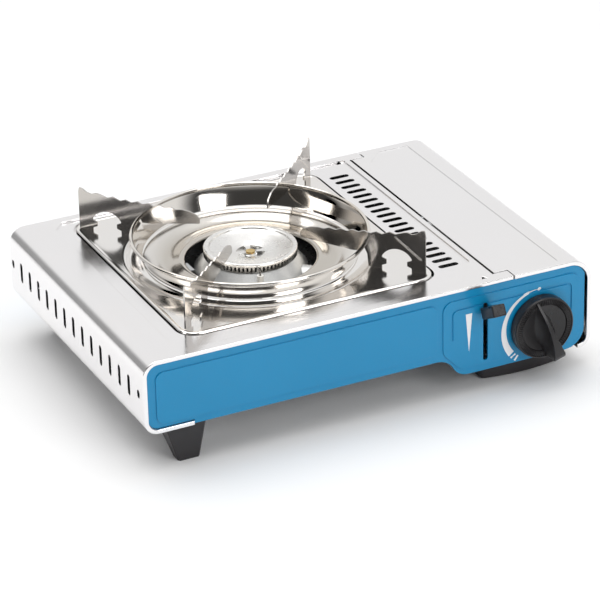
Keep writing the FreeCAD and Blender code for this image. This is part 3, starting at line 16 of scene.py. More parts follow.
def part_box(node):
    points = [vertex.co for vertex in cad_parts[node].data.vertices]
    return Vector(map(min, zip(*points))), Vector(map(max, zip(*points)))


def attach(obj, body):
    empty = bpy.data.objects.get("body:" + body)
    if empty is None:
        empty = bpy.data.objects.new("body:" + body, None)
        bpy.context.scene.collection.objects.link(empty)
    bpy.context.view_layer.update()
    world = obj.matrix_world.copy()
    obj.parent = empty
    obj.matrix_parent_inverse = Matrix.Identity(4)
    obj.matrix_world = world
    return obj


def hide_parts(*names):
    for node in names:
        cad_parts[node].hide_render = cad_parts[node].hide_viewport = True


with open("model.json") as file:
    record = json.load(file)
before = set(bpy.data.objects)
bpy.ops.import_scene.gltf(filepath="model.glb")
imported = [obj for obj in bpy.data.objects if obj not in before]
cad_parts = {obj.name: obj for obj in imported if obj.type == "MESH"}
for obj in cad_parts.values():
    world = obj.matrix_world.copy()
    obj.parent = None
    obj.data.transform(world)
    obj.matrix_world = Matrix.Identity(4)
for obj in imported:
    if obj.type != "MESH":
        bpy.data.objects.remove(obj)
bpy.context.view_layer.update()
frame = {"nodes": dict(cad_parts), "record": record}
MM = 0.001

# %% [markdown]
# ## Picking by place
#
# An operator works on whatever is selected, and the frame's parts all arrive selected. So every
# step first lets go of everything, and then picks faces or edges in code, by where they are.

# %% Helpers that pick


def let_go():
    for thing in list(bpy.context.selected_objects):
        thing.select_set(False)


def take(piece):
    """Make one piece the selected and active one."""
    let_go()
    piece.select_set(True)
    bpy.context.view_layer.objects.active = piece


def open_mesh(piece, kind="FACE"):
    take(piece)
    bpy.ops.object.mode_set(mode="EDIT")
    bpy.ops.mesh.select_mode(type=kind)
    bpy.ops.mesh.select_all(action="DESELECT")


def close_mesh():
    bpy.ops.object.mode_set(mode="OBJECT")


def agree_outwards():
    """In edit mode, select all the faces and turn them the same way, outwards."""
    bpy.ops.mesh.select_all(action="SELECT")
    bpy.ops.mesh.normals_make_consistent(inside=False)


def face_up(piece):
    """Close an open sheet with its faces turned the same way, upwards."""
    agree_outwards()
    close_mesh()
    if sum(face.normal.z for face in piece.data.polygons) < 0:
        open_mesh(piece)
        bpy.ops.mesh.select_all(action="SELECT")
        bpy.ops.mesh.flip_normals()
        close_mesh()


def pick(piece, test, kind="FACE"):
    """Select the faces or edges that pass a test, and say how many there were."""
    mesh = bmesh.from_edit_mesh(piece.data)
    found = 0
    for element in (mesh.faces if kind == "FACE" else mesh.edges):
        if test(element):
            element.select_set(True)
            found += 1
    mesh.select_flush(True)
    bmesh.update_edit_mesh(piece.data)
    return found


# %% Helpers that finish a piece


def modify(piece, kind, **settings):
    """Add a modifier, set it and apply it."""
    take(piece)
    modifier = piece.modifiers.new(kind.title(), kind)
    for name, value in settings.items():
        setattr(modifier, name, value)
    bpy.ops.object.modifier_apply(modifier=modifier.name)


def smooth(piece, degrees=30):
    take(piece)
    bpy.ops.object.shade_smooth_by_angle(angle=math.radians(degrees))


def settle(piece, name, like, material, *instead_of):
    """Name a finished piece, fix its place in its mesh and let it ride where a frame part rides."""
    take(piece)
    bpy.ops.object.transform_apply(location=True, rotation=True, scale=True)
    piece.name = name
    piece.data.name = name
    piece.data.materials.clear()
    piece.data.materials.append(material)
    record = frame["record"]
    body = [b for b, nodes in record["behaviour"]["bodies"].items() if like in nodes][0]
    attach(piece, body)
    if instead_of:
        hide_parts(*instead_of)
    print(f"{name}: {len(piece.data.polygons)} faces")


# %% [markdown]
# ## Shader maths as sums
#
# A node tree is easier to read when it is written like arithmetic. The class wraps one socket, and
# each operator adds the Math node that it stands for. Every other node comes from one method.

# %% Sockets that add and multiply


class Value:
    """One socket of a material's tree, used in expressions."""

    def __init__(self, tree, socket):
        self.tree, self.socket = tree, socket

    def sum(self, operation, other=0.0, swap=False):
        node = self.tree.nodes.new("ShaderNodeMath")
        node.operation = operation
        for number, item in enumerate((other, self) if swap else (self, other)):
            if isinstance(item, Value):
                self.tree.links.new(item.socket, node.inputs[number])
            else:
                node.inputs[number].default_value = item
        return Value(self.tree, node.outputs[0])

    def __add__(self, other):
        return self.sum("ADD", other)

    def __radd__(self, other):
        return self.sum("ADD", other, True)

    def __sub__(self, other):
        return self.sum("SUBTRACT", other)

    def __rsub__(self, other):
        return self.sum("SUBTRACT", other, True)

    def __mul__(self, other):
        return self.sum("MULTIPLY", other)

    def __rmul__(self, other):
        return self.sum("MULTIPLY", other, True)

    def __truediv__(self, other):
        return self.sum("DIVIDE", other)

    def __lt__(self, other):
        return self.sum("LESS_THAN", other)

    def __gt__(self, other):
        return self.sum("GREATER_THAN", other)

    def __abs__(self):
        return self.sum("ABSOLUTE")


# %% A material built a node at a time


class Finish:
    """A material with one Principled shader, built a node at a time."""

    def __init__(self, name, color, **sockets):
        self.material = bpy.data.materials.new(name)
        self.material.use_nodes = True
        self.tree = self.material.node_tree
        self.shader = self.tree.nodes["Principled BSDF"]
        self.shader.inputs["Base Color"].default_value = (*color, 1)
        for socket, value in sockets.items():
            title = socket.replace("_", " ").title().replace("Ior", "IOR")
            self.shader.inputs[title].default_value = value
        self.place = self.node("ShaderNodeTexCoord", out="Object")

    def node(self, kind, settings=None, out=0, **inputs):
        made = self.tree.nodes.new(kind)
        for name, value in (settings or {}).items():
            setattr(made, name, value)
        for name, value in inputs.items():
            key = int(name[1:]) if name[1:].isdigit() else name.replace("_", " ")
            socket = made.inputs[key]
            if isinstance(value, Value):
                self.tree.links.new(value.socket, socket)
            else:
                socket.default_value = value
        return Value(self.tree, made.outputs[out])

    def feed(self, socket, value):
        self.tree.links.new(value.socket, self.shader.inputs[socket])

    def axes(self):
        split = self.node("ShaderNodeSeparateXYZ", Vector=self.place)
        return [Value(self.tree, split.socket.node.outputs[i]) for i in range(3)]

    def noise(self, scale, detail=3.0, stretch=(1, 1, 1)):
        """Even noise over the piece, from 0 to 1; scale is in cycles per metre."""
        mapped = self.node("ShaderNodeMapping", Vector=self.place, Scale=stretch)
        return self.node("ShaderNodeTexNoise", Vector=mapped, Scale=scale, Detail=detail)

    def between(self, value, low, high, to_low=0.0, to_high=1.0):
        return self.node("ShaderNodeMapRange", {"clamp": True}, _0=value, _1=low, _2=high, _3=to_low,
                         _4=to_high)

    def mix(self, factor, first, second):
        """Blend two colours, each a triple or a socket."""
        first = (*first, 1) if isinstance(first, tuple) else first
        second = (*second, 1) if isinstance(second, tuple) else second
        return self.node("ShaderNodeMix", {"data_type": "RGBA"}, out=2, _0=factor, _6=first, _7=second)

    def bump(self, height, depth, strength=1.0):
        self.feed("Normal", self.node("ShaderNodeBump", Height=height, Distance=depth, Strength=strength))


# %% [markdown]
# ## Finishes
#
# The stove is mostly bright stainless sheet. A mirror alone looks like nothing, so the sheet has
# faint rolling lines, a slow waviness that bends its reflections, and a little uneven gloss where
# hands have wiped it.

# %% Stainless sheet
burner_low, burner_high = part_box("burner_cap")
BURNER = Vector(((burner_low.x + burner_high.x) / 2, (burner_low.y + burner_high.y) / 2, 0))
# Painted shade: the gutter round the tray is painted near black, standing in for the shadow in its gap.
SHADE_WIDE, SHADE_CORNER, SHADE_INSET = 2.6 * MM, 9 * MM, 0.6 * MM
# Painted shade: a darker warm grey is painted on the tray inside the shield, standing in for the shield's
# dark reflections.
GUTTER_SHADE, SHIELD_SHADE_TINT = (0.012, 0.011, 0.011), (0.60, 0.565, 0.515)


def stainless(name, color, gloss, wave, warm=0.0, gutter=None, shade_radius=None):
    """Bright sheet; painted shade darkens its sides in the gutter, a box, and warms and darkens it inside
    the shade radius.
    """
    finish = Finish(name, color, metallic=1.0)
    wiped = finish.noise(14.0, 4.0)
    lines = finish.noise(60.0, 2.0, (1.0, 40.0, 40.0))
    finish.feed("Roughness", finish.between(wiped * 0.7 + lines * 0.3, 0.3, 0.7, gloss * 0.7, gloss * 1.4))
    tint = tuple(c * t for c, t in zip(color, (1.0, 0.94, 0.86)))
    spread = finish.between(finish.noise(9.0), 0.45, 0.65, warm * 0.25, warm)
    paint = finish.mix(spread, color, tint)
    # Painted shade: the gutter's sides are painted near black where the gap round the tray lies in shadow.
    if gutter:
        low, high = gutter
        x, y, z = finish.axes()
        shaded_sides = (abs(x - (low.x + high.x) / 2) > (high.x - low.x) / 2 - SHADE_INSET) * (z < low.z)
        shaded_sides = shaded_sides * (x > low.x - SHADE_WIDE) * (x < high.x + SHADE_WIDE)
        shaded_sides = shaded_sides * (y > low.y + SHADE_CORNER) * (y < high.y - SHADE_CORNER)
        paint = finish.mix(shaded_sides, paint, GUTTER_SHADE)
    # Painted shade: inside this radius the sheet is painted darker and warmer, in place of the shield's
    # dark reflections.
    if shade_radius:
        x, y, _ = finish.axes()
        across, along = x - BURNER.x, y - BURNER.y
        radius = (across * across + along * along).sum("POWER", 0.5)
        shaded = finish.between(radius, shade_radius * 0.78, shade_radius, 1.0, 0.0)
        paint = finish.mix(shaded, paint, SHIELD_SHADE_TINT)
    finish.feed("Base Color", paint)
    slow = finish.noise(11.0, 1.0)
    finish.bump(slow * 0.9 + lines * 0.02, wave)
    return finish.material


tray_low, tray_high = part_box("drip_tray")
GUTTER = (Vector((tray_low.x, tray_low.y, tray_high.z - 1.1 * MM)), tray_high)
case_steel = stainless("case_steel", (0.90, 0.89, 0.895), 0.17, 0.0006, 0.1, GUTTER)
lid_steel = stainless("lid_steel", (0.90, 0.89, 0.895), 0.17, 0.0006, 0.1)
tray_steel = stainless("tray_steel", (0.86, 0.845, 0.83), 0.12, 0.0005, 0.3, shade_radius=82 * MM)
shield_steel = stainless("shield_steel", (0.80, 0.78, 0.75), 0.07, 0.0004, 0.9)
arm_steel = stainless("arm_steel", (0.56, 0.54, 0.52), 0.12, 0.0005, 0.5)

# %% [markdown]
# ## Enamel with printed marks
#
# The front panel is blue enamel: a deep colour under a clear gloss with a slight orange peel. The
# white marks are printed. Each is a small formula in the plane of the panel: a wedge beside the
# lever, and a crescent that grows round the knob from a dot at its off position. The inner face
# is only primed, so it is dark.

# %% Blue enamel
knob_low, knob_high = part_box("gas_knob")
KNOB = Vector(((knob_low.x + knob_high.x) / 2, 0, (knob_low.z + knob_high.z) / 2))
lever_low, lever_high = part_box("lock_lever")
LEVER_LINE = (lever_low.x + lever_high.x) / 2


WEDGE_TOP, WEDGE_TIP, WEDGE_HALF, WEDGE_ASIDE = 66.7 * MM, 35.2 * MM, 2.7 * MM, 14.0 * MM
CRESCENT_INNER, CRESCENT_THIN, CRESCENT_GROWS = 28.0 * MM, 28.9 * MM, 4.5 * MM
CRESCENT_SWEEP = math.radians(130)
TICK_INNER, TICK_OUTER, TICKS = 28.6 * MM, 33.4 * MM, ((1.03, 1.052), (1.085, 1.107))
DOT_UP, DOT_RADIUS = 28.6 * MM, 1.5 * MM
PRINT_WHITE, PRIMER = (0.95, 0.95, 0.96), (0.05, 0.05, 0.052)


def blue_enamel(name, printed, inside):
    """Enamel on one face; inside is the panel's inner face as (its y, which way is inwards)."""
    finish = Finish(name, (0.004, 0.270, 0.540), roughness=0.32, coat_weight=0.25, coat_roughness=0.06,
                    specular_ior_level=0.35)
    cloud = finish.between(finish.noise(8.0), 0.3, 0.7)
    paint = finish.mix(cloud, (0.003, 0.262, 0.525), (0.006, 0.278, 0.555))
    x, y, z = finish.axes()
    if printed:
        # Wedge: full width at its upper end, a point at its lower end.
        reach = (z - WEDGE_TIP) * (WEDGE_HALF / (WEDGE_TOP - WEDGE_TIP))
        wedge = (abs(x - (LEVER_LINE - WEDGE_ASIDE)) < reach) * (z < WEDGE_TOP) * (z > WEDGE_TIP)
        # Crescent: the angle runs from straight up, away from the lever side first.
        across, up = x - KNOB.x, z - KNOB.z
        radius = (across * across + up * up).sum("POWER", 0.5)
        turn = (across * -1.0).sum("ARCTAN2", up)
        share = turn / CRESCENT_SWEEP
        crescent = (radius > CRESCENT_INNER) * (radius < CRESCENT_THIN + share * CRESCENT_GROWS)
        crescent = crescent * (share > 0.0) * (share < 1.0)
        (start, end), (next_start, next_end) = TICKS
        ticks = ((share > start) * (share < end)) + ((share > next_start) * (share < next_end))
        ticks = ticks * (radius > TICK_INNER) * (radius < TICK_OUTER)
        above = up - DOT_UP
        dot = (across * across + above * above) < DOT_RADIUS ** 2
        white = (wedge + crescent + ticks + dot).sum("MINIMUM", 1.0)
        paint = finish.mix(white, paint, PRINT_WHITE)
    face, inwards = inside
    primer = (y * inwards) > (face * inwards - 0.05 * MM)
    finish.feed("Base Color", finish.mix(primer, paint, PRIMER))
    finish.bump(finish.noise(900.0, 1.0) * 0.5 + finish.noise(30.0, 1.0), 0.00012)
    return finish.material


panel_blue = blue_enamel("panel_blue", True, (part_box("front_panel")[1].y, 1))
back_blue = blue_enamel("back_blue", False, (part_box("rear_panel")[0].y, -1))

# %% [markdown]
# ## Moulded plastic
#
# The knob, the lever's handle and the feet are black plastic with the fine spark-eroded grain of a
# mould. The grain scatters light, and its gloss and tone vary a little in soft patches.

# %% Black plastic


def moulded(name, color, gloss):
    finish = Finish(name, color, metallic=0.0, specular_ior_level=0.45)
    grain = finish.noise(2600.0, 2.0)
    worn = finish.between(finish.noise(35.0), 0.35, 0.65)
    finish.feed("Roughness", finish.between(worn, 0.0, 1.0, gloss - 0.06, gloss + 0.06))
    finish.feed("Base Color", finish.mix(worn, color, tuple(c * 1.25 for c in color)))
    finish.bump(grain, 0.00006, 0.8)
    return finish.material


foot_black = moulded("foot_black", (0.026, 0.024, 0.026), 0.42)
knob_black = moulded("knob_black", (0.013, 0.012, 0.013), 0.30)

# %% [markdown]
# ## The smaller metals and the rest
#
# Plated sheet shows a faint spangle, cast metal is grey and grainy, turned brass and copper keep
# fine rings from the tool or the die, rubber is dull and the ceramic has a clear glaze.

# %% Plated, cast, turned


def plated(name, color, rough):
    finish = Finish(name, color, metallic=1.0)
    spangle = finish.node("ShaderNodeTexVoronoi", {"feature": "F1"}, Vector=finish.place, Scale=240.0)
    cloud = finish.noise(40.0)
    finish.feed("Roughness", finish.between(spangle + cloud, 0.4, 1.4, rough * 0.8, rough * 1.3))
    darker = tuple(c * 0.85 for c in color)
    finish.feed("Base Color", finish.mix(finish.between(cloud, 0.35, 0.65), color, darker))
    finish.bump(spangle, 0.00004, 0.5)
    return finish.material


def cast(name, color, rough, grain_depth):
    finish = Finish(name, color, metallic=1.0)
    pits = finish.noise(1300.0, 3.0)
    finish.feed("Roughness", finish.between(finish.noise(50.0), 0.3, 0.7, rough - 0.08, rough + 0.08))
    darker = tuple(c * 0.86 for c in color)
    finish.feed("Base Color", finish.mix(finish.between(pits, 0.3, 0.7), darker, color))
    finish.bump(pits, grain_depth)
    return finish.material


def turned(name, color, rough):
    finish = Finish(name, color, metallic=1.0)
    rings = finish.noise(90.0, 2.0, (1.0, 1.0, 30.0))
    finish.feed("Roughness", finish.between(rings, 0.3, 0.7, rough * 0.8, rough * 1.25))
    darker = tuple(c * 0.8 for c in color)
    finish.feed("Base Color", finish.mix(finish.between(finish.noise(70.0), 0.4, 0.6), color, darker))
    finish.bump(rings, 0.00003)
    return finish.material


def dull(name, color, rough, coat):
    finish = Finish(name, color, roughness=rough, coat_weight=coat, coat_roughness=0.08)
    cloud = finish.between(finish.noise(120.0), 0.35, 0.65)
    finish.feed("Base Color", finish.mix(cloud, color, tuple(c * 0.9 for c in color)))
    finish.bump(finish.noise(1500.0), 0.00004, 0.5)
    return finish.material


zinc = plated("zinc", (0.60, 0.61, 0.62), 0.28)
cast_grey = cast("cast_grey", (0.60, 0.60, 0.59), 0.38, 0.00006)
cap_metal = cast("cap_metal", (0.86, 0.85, 0.83), 0.27, 0.000004)
scorched = cast("scorched", (0.16, 0.145, 0.13), 0.35, 0.00002)
brass = turned("brass", (0.78, 0.57, 0.25), 0.25)
copper = turned("copper", (0.72, 0.40, 0.26), 0.28)
rubber = dull("rubber", (0.03, 0.03, 0.03), 0.6, 0.0)
ceramic = dull("ceramic", (0.84, 0.82, 0.77), 0.3, 0.8)

# %% [markdown]
# ## Soft edges
#
# Pressed sheet never has knife edges. Where a frame part already has the right shape, a copy of it
# gets every sharp edge rounded by a fraction of a millimetre. The copy is merged first, because
# the frame's meshes are loose triangles, and flat areas are joined into single faces. A weighted
# normal pass keeps the large flats flat in the light.

# %% Rounding a copy of a frame part


def copy_of(node):
    """A merged copy of a frame part, with its flat areas dissolved into faces."""
    piece = frame["nodes"][node].copy()
    piece.data = piece.data.copy()
    piece.parent = None
    for key in list(piece.keys()):
        del piece[key]
    bpy.context.scene.collection.objects.link(piece)
    open_mesh(piece)
    bpy.ops.mesh.select_all(action="SELECT")
    bpy.ops.mesh.remove_doubles(threshold=2e-6)
    bpy.ops.mesh.normals_make_consistent(inside=False)
    bpy.ops.mesh.dissolve_limited(angle_limit=math.radians(0.4))
    close_mesh()
    return piece


def soften(piece, width, segments=2, degrees=32):
    modify(piece, "BEVEL", width=width, segments=segments, limit_method="ANGLE",
           angle_limit=math.radians(degrees), use_clamp_overlap=True, miter_outer="MITER_ARC")
    smooth(piece, 40)
    modify(piece, "WEIGHTED_NORMAL", keep_sharp=True, weight=80)


# %% [markdown]
# ## Case, panels and lid
#
# The case is one bent sheet whose front and back rims are rolled over. The rims are rounded much
# more than the other edges, so they are picked first: every sharp edge that lies in the front or
# back plane. The step round the sunk field on top is a soft pressing, so it is rounded too.

# %% Helpers for rims and pressings
shell_low, shell_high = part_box("case_shell")


def sharp(edge, degrees=30):
    return len(edge.link_faces) == 2 and edge.calc_face_angle(0) > math.radians(degrees)


def round_rims(piece, width):
    """Round the edges of the rolled rims at the front and back."""
    open_mesh(piece, "EDGE")

    def on_rim(edge):
        return sharp(edge) and any(all(abs(v.co.y - y) < 1e-5 for v in edge.verts)
                                   for y in (shell_low.y, shell_high.y))
    found = pick(piece, on_rim, "EDGE")
    bpy.ops.mesh.bevel(offset=width, segments=4, clamp_overlap=True)
    close_mesh()
    print(piece.name, "rim edges", found)


def round_pressing(piece, level, depth, width):
    """Round the upper and lower edges of a step pressed into a flat top."""
    for z in (level, level - depth):
        open_mesh(piece, "EDGE")

        def on_step(edge):
            flat = all(abs(v.co.z - z) < 1e-5 for v in edge.verts)
            half = depth / 2
            wall = any(abs(f.normal.z) < 0.1 and abs(f.calc_center_median().z - (level - half)) < half
                       for f in edge.link_faces)
            return flat and wall and sharp(edge)
        found = pick(piece, on_step, "EDGE")
        bpy.ops.mesh.bevel(offset=width, segments=3, clamp_overlap=True)
        close_mesh()
        print(piece.name, "pressing edges", found)


# %% Case shell and lid
SUNK, RIM_ROUND = 1.5 * MM, 1.0 * MM
shell = copy_of("case_shell")
round_rims(shell, RIM_ROUND)
round_pressing(shell, shell_high.z, SUNK, 0.7 * MM)
soften(shell, 0.22 * MM)
settle(shell, "shell", "case_shell", case_steel, "case_shell")

lid = copy_of("cartridge_lid")
round_rims(lid, RIM_ROUND)
round_pressing(lid, shell_high.z, 0.5 * MM, 0.24 * MM)
soften(lid, 0.22 * MM)
settle(lid, "lid", "cartridge_lid", lid_steel, "cartridge_lid")

# %% Front and rear panels
panel = copy_of("front_panel")
soften(panel, 0.45 * MM, 3)
settle(panel, "panel", "front_panel", panel_blue, "front_panel")
back_panel = copy_of("rear_panel")
soften(back_panel, 0.3 * MM)
settle(back_panel, "back_panel", "rear_panel", back_blue, "rear_panel")

# %% [markdown]
# ## Drip tray
#
# The tray is drawn from one sheet: a rolled lip round the burner hole, a shallow dish, a ridge
# that the wind shield stands on, and a flat square flange. It starts as a circle at the hole,
# whose edge is drawn outwards ring by ring along a smooth profile, and its last rings are pulled
# out to the rounded square, with a bead that stiffens the flange and an edge that turns down.

# %% Drip tray
ROUND = 288  # points round a turned sheet


def smooth_profile(points, steps):
    """Points on a curve through the given (radius, height) points, in millimetres."""
    curve = []
    for i in range(len(points) - 1):
        before, after = points[max(i - 1, 0)], points[min(i + 2, len(points) - 1)]
        a, b = points[i], points[i + 1]
        for step in range(steps):
            t = step / steps
            curve.append(tuple(
                0.5 * (2 * a[k] + (b[k] - before[k]) * t
                       + (2 * before[k] - 5 * a[k] + 4 * b[k] - after[k]) * t ** 2
                       + (3 * a[k] - before[k] - 3 * b[k] + after[k]) * t ** 3) for k in (0, 1)))
    return curve + [points[-1]]


def draw_out(profile):
    """A turned sheet: a circle whose edge is extruded outwards through (radius, height) points."""
    radius, height = profile[0]
    bpy.ops.mesh.primitive_circle_add(vertices=ROUND, radius=radius * MM, fill_type="NOTHING",
                                      location=(BURNER.x, BURNER.y, height * MM))
    piece = bpy.context.object
    take(piece)
    bpy.ops.object.transform_apply(location=True)
    bpy.ops.object.mode_set(mode="EDIT")
    bpy.ops.mesh.select_mode(type="EDGE")
    bpy.ops.mesh.select_all(action="SELECT")
    for wider, higher in profile[1:]:
        bpy.ops.mesh.extrude_region_move(TRANSFORM_OT_translate={"value": (0, 0, (higher - height) * MM)})
        bpy.ops.transform.resize(value=(wider / radius, wider / radius, 1),
                                 center_override=(BURNER.x, BURNER.y, higher * MM))
        radius, height = wider, higher
    return piece


TRAY_TOP = tray_high.z / MM
tray_profile = smooth_profile([
    (49.6, TRAY_TOP - 6.6), (49.9, TRAY_TOP - 5.0), (52.6, TRAY_TOP - 4.1), (55.8, TRAY_TOP - 4.9),
    (60.5, TRAY_TOP - 5.9), (66.0, TRAY_TOP - 5.6), (72.0, TRAY_TOP - 3.4), (77.5, TRAY_TOP - 2.2),
    (81.5, TRAY_TOP - 1.9), (84.6, TRAY_TOP - 3.5), (88.0, TRAY_TOP - 3.9), (91.4, TRAY_TOP - 3.3),
    (93.6, TRAY_TOP - 1.1), (95.4, TRAY_TOP - 0.05), (97.5, TRAY_TOP)], 4)
tray = draw_out(tray_profile + [(98.4, TRAY_TOP)])

# %% Tray flange


def rounded_square(angle, low, high, corner):
    """Where a ray from the burner's axis meets the rounded square."""
    way = Vector((math.cos(angle), math.sin(angle), 0))
    lo, hi = 0.05, 0.3
    for _ in range(40):
        reach = (lo + hi) / 2
        spot = BURNER + way * reach
        inside_x = max(low.x + corner - spot.x, spot.x - high.x + corner, 0)
        inside_y = max(low.y + corner - spot.y, spot.y - high.y + corner, 0)
        if math.hypot(inside_x, inside_y) > corner:
            hi = reach
        else:
            lo = reach
    return BURNER + way * reach


# A bead runs round the flange, and then the edge turns down into the case's gutter.
# Each ring is (inset, rise) from the flange's edge and level, in millimetres.
TRAY_CORNER = 14
EDGE = [(4.4, 0.0), (3.4, 0.0), (2.8, 0.25), (2.2, 0.55), (1.4, 0.6), (0.7, 0.3), (0.25, -0.2),
        (0.0, -1.0), (0.0, -2.6)]
for inset, rise in EDGE:
    bpy.ops.mesh.extrude_region_move(TRANSFORM_OT_translate={"value": (0, 0, 0)})
    edit = bmesh.from_edit_mesh(tray.data)
    margin = Vector((inset * MM, inset * MM, 0))
    for vertex in edit.verts:
        if vertex.select:
            angle = math.atan2(vertex.co.y - BURNER.y, vertex.co.x - BURNER.x)
            corner = (TRAY_CORNER - inset) * MM
            spot = rounded_square(angle, tray_low + margin, tray_high - margin, corner)
            vertex.co = (spot.x, spot.y, (TRAY_TOP + rise) * MM)
    bmesh.update_edit_mesh(tray.data)
face_up(tray)
modify(tray, "SOLIDIFY", thickness=0.6 * MM, offset=-1)
modify(tray, "BEVEL", width=0.15 * MM, segments=2, limit_method="ANGLE", angle_limit=math.radians(50))
smooth(tray, 50)
settle(tray, "tray", "drip_tray", tray_steel, "drip_tray")

# %% [markdown]
# ## Wind shield
#
# The shield is a flared ring with a rim rolled to a bead. A bead catches a thin bright line all
# the way round, so it is modelled as a real tube and not as an edge.

# %% Wind shield
shield_low, shield_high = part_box("wind_shield")
TOP = shield_high.z / MM
FOOT = shield_low.z / MM
RIM = (shield_high.x - shield_low.x) / 2 / MM
BEAD = 0.9
bead = [(RIM - BEAD + BEAD * math.sin(math.radians(a)), TOP - BEAD + BEAD * math.cos(math.radians(a)))
        for a in range(150, -151, -25)]
shield = draw_out([(81.0, FOOT), (81.3, FOOT + 0.6), (84.6, FOOT + 6.2), (88.0, TOP - 3.4)] + bead)
close_mesh()
modify(shield, "SOLIDIFY", thickness=0.5 * MM, offset=1)
open_mesh(shield)
agree_outwards()
close_mesh()
smooth(shield, 60)
settle(shield, "shield", "wind_shield", shield_steel, "wind_shield")

# %% [markdown]
# ## Pan arms
#
# The four arms are punched from sheet and stand on edge. Their edges are only broken, not
# rounded, so the softening is small.

# %% Pan arms
for corner in ("front_left", "front_right", "rear_left", "rear_right"):
    arm = copy_of(f"pan_arm_{corner}")
    soften(arm, 0.22 * MM)
    settle(arm, f"arm_{corner}", f"pan_arm_{corner}", arm_steel, f"pan_arm_{corner}")

# %% [markdown]
# ## Burner
#
# The cap is a turned dish with a thick rim, flame ports round its skirt and four pockets round
# its screw. It is drawn out like the tray, and then the ports and pockets are picked by their
# angle and radius: the ports are cut through, and the pockets are pressed down. The bell under it
# is cast.

# %% Burner cap
CAP_TOP, CAP_RADIUS = burner_high.z / MM, (burner_high.x - burner_low.x) / 2 / MM
SKIRT_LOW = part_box("burner_body")[1].z / MM
SCREW_HEAD = 1.5
PORT_TOP, PORT_FOOT = CAP_TOP - 2.4, SKIRT_LOW + 0.5
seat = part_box("burner_screw")[1].z / MM - SCREW_HEAD
cap = draw_out([
    (2.2, seat), (4.3, seat), (4.5, seat + 0.7), (10.8, seat + 0.9), (11.6, seat + 1.2), (19.0, seat + 2.2),
    (26.0, CAP_TOP - 2.6), (30.2, CAP_TOP - 1.9), (30.9, CAP_TOP - 1.5), (31.3, CAP_TOP - 0.4),
    (32.0, CAP_TOP),
    (34.4, CAP_TOP), (35.1, CAP_TOP - 0.3), (CAP_RADIUS, CAP_TOP - 1.0), (CAP_RADIUS, PORT_TOP),
    (CAP_RADIUS - 0.01, PORT_FOOT), (CAP_RADIUS, SKIRT_LOW)])
bpy.ops.mesh.select_mode(type="FACE")
bpy.ops.mesh.select_all(action="DESELECT")

# %% Flame ports and pockets


def around(face):
    """A face's radius and angle about the burner's axis, in metres and degrees."""
    middle = face.calc_center_median() - BURNER
    return middle.xy.length, math.degrees(math.atan2(middle.y, middle.x)) % 360


def on_port(face):
    """A face of the skirt that a flame port cuts away: two faces out of four."""
    radius, angle = around(face)
    high_enough = PORT_FOOT * MM < face.calc_center_median().z < PORT_TOP * MM
    return radius > (CAP_RADIUS - 0.1) * MM and high_enough and int(angle / (360 / ROUND)) % 4 < 2


def on_pocket(face):
    """A face of the dish that is in one of the four pockets."""
    radius, angle = around(face)
    return 4.6 * MM < radius < 10.8 * MM and 14 < (angle + 10) % 90 < 76


POCKET_DEEP = 1.9 * MM
print("ports", pick(cap, on_port))
bpy.ops.mesh.delete(type="FACE")
print("pockets", pick(cap, on_pocket))
bpy.ops.mesh.extrude_region_move(TRANSFORM_OT_translate={"value": (0, 0, -POCKET_DEEP)})
face_up(cap)
modify(cap, "SOLIDIFY", thickness=1.2 * MM, offset=-1)
smooth(cap, 35)
settle(cap, "cap", "burner_cap", cap_metal, "burner_cap")

# %% Burner bell
bell = copy_of("burner_body")
soften(bell, 0.6 * MM, 3, 20)
settle(bell, "bell", "burner_body", cast_grey, "burner_body")

# %% [markdown]
# ## Controls and feet
#
# Moulded parts have generous radii. The knob is the most shaped of them. Its skirt is dished,
# with fine ribs round the front of its rim, and its grip is thin at the crest, hollowed on both
# sides for a finger and a thumb, and thick where it points. So the skirt is inset ring by ring
# from a cylinder, each face of its rim is pressed in to a groove, and the grip is a finely
# divided block that is moved to a row of sections.

# %% Knob skirt
SKIRT, SKIRT_DEEP, RIBS = (knob_high.x - knob_low.x) / 2, 8.0 * MM, 84
bpy.ops.mesh.primitive_cylinder_add(vertices=RIBS, radius=SKIRT, depth=SKIRT_DEEP,
                                    location=(0, 0, SKIRT_DEEP / 2))
knob = bpy.context.object
take(knob)
bpy.ops.object.transform_apply(location=True)
open_mesh(knob, "EDGE")
print("rim edges", pick(knob, lambda e: all(abs(v.co.z - SKIRT_DEEP) < 1e-6 for v in e.verts), "EDGE"))
SKIRT_ROUND = 1.3 * MM
bpy.ops.mesh.bevel(offset=SKIRT_ROUND, segments=4)
bpy.ops.mesh.select_mode(type="FACE")
bpy.ops.mesh.select_all(action="DESELECT")
pick(knob, lambda f: f.normal.z > 0.99 and len(f.verts) > 8)
for inwards, deeper in ((4.6, 0.0), (0.5, -0.9), (3.0, -0.5), (4.0, -0.8), (4.0, -0.4)):
    bpy.ops.mesh.inset(thickness=inwards * MM, depth=deeper * MM)
bpy.ops.mesh.select_all(action="DESELECT")


def on_rib(face):
    """A face of the flat ring on the front of the rim."""
    middle = face.calc_center_median()
    ring = SKIRT - 6.0 * MM < middle.xy.length < SKIRT - SKIRT_ROUND
    return ring and len(face.verts) == 4 and abs(face.normal.z) > 0.99 and middle.z > SKIRT_DEEP - 1e-5


print("ribs", pick(knob, on_rib))
bpy.ops.mesh.inset(use_individual=True, thickness=0.6 * MM, depth=-0.7 * MM)
close_mesh()

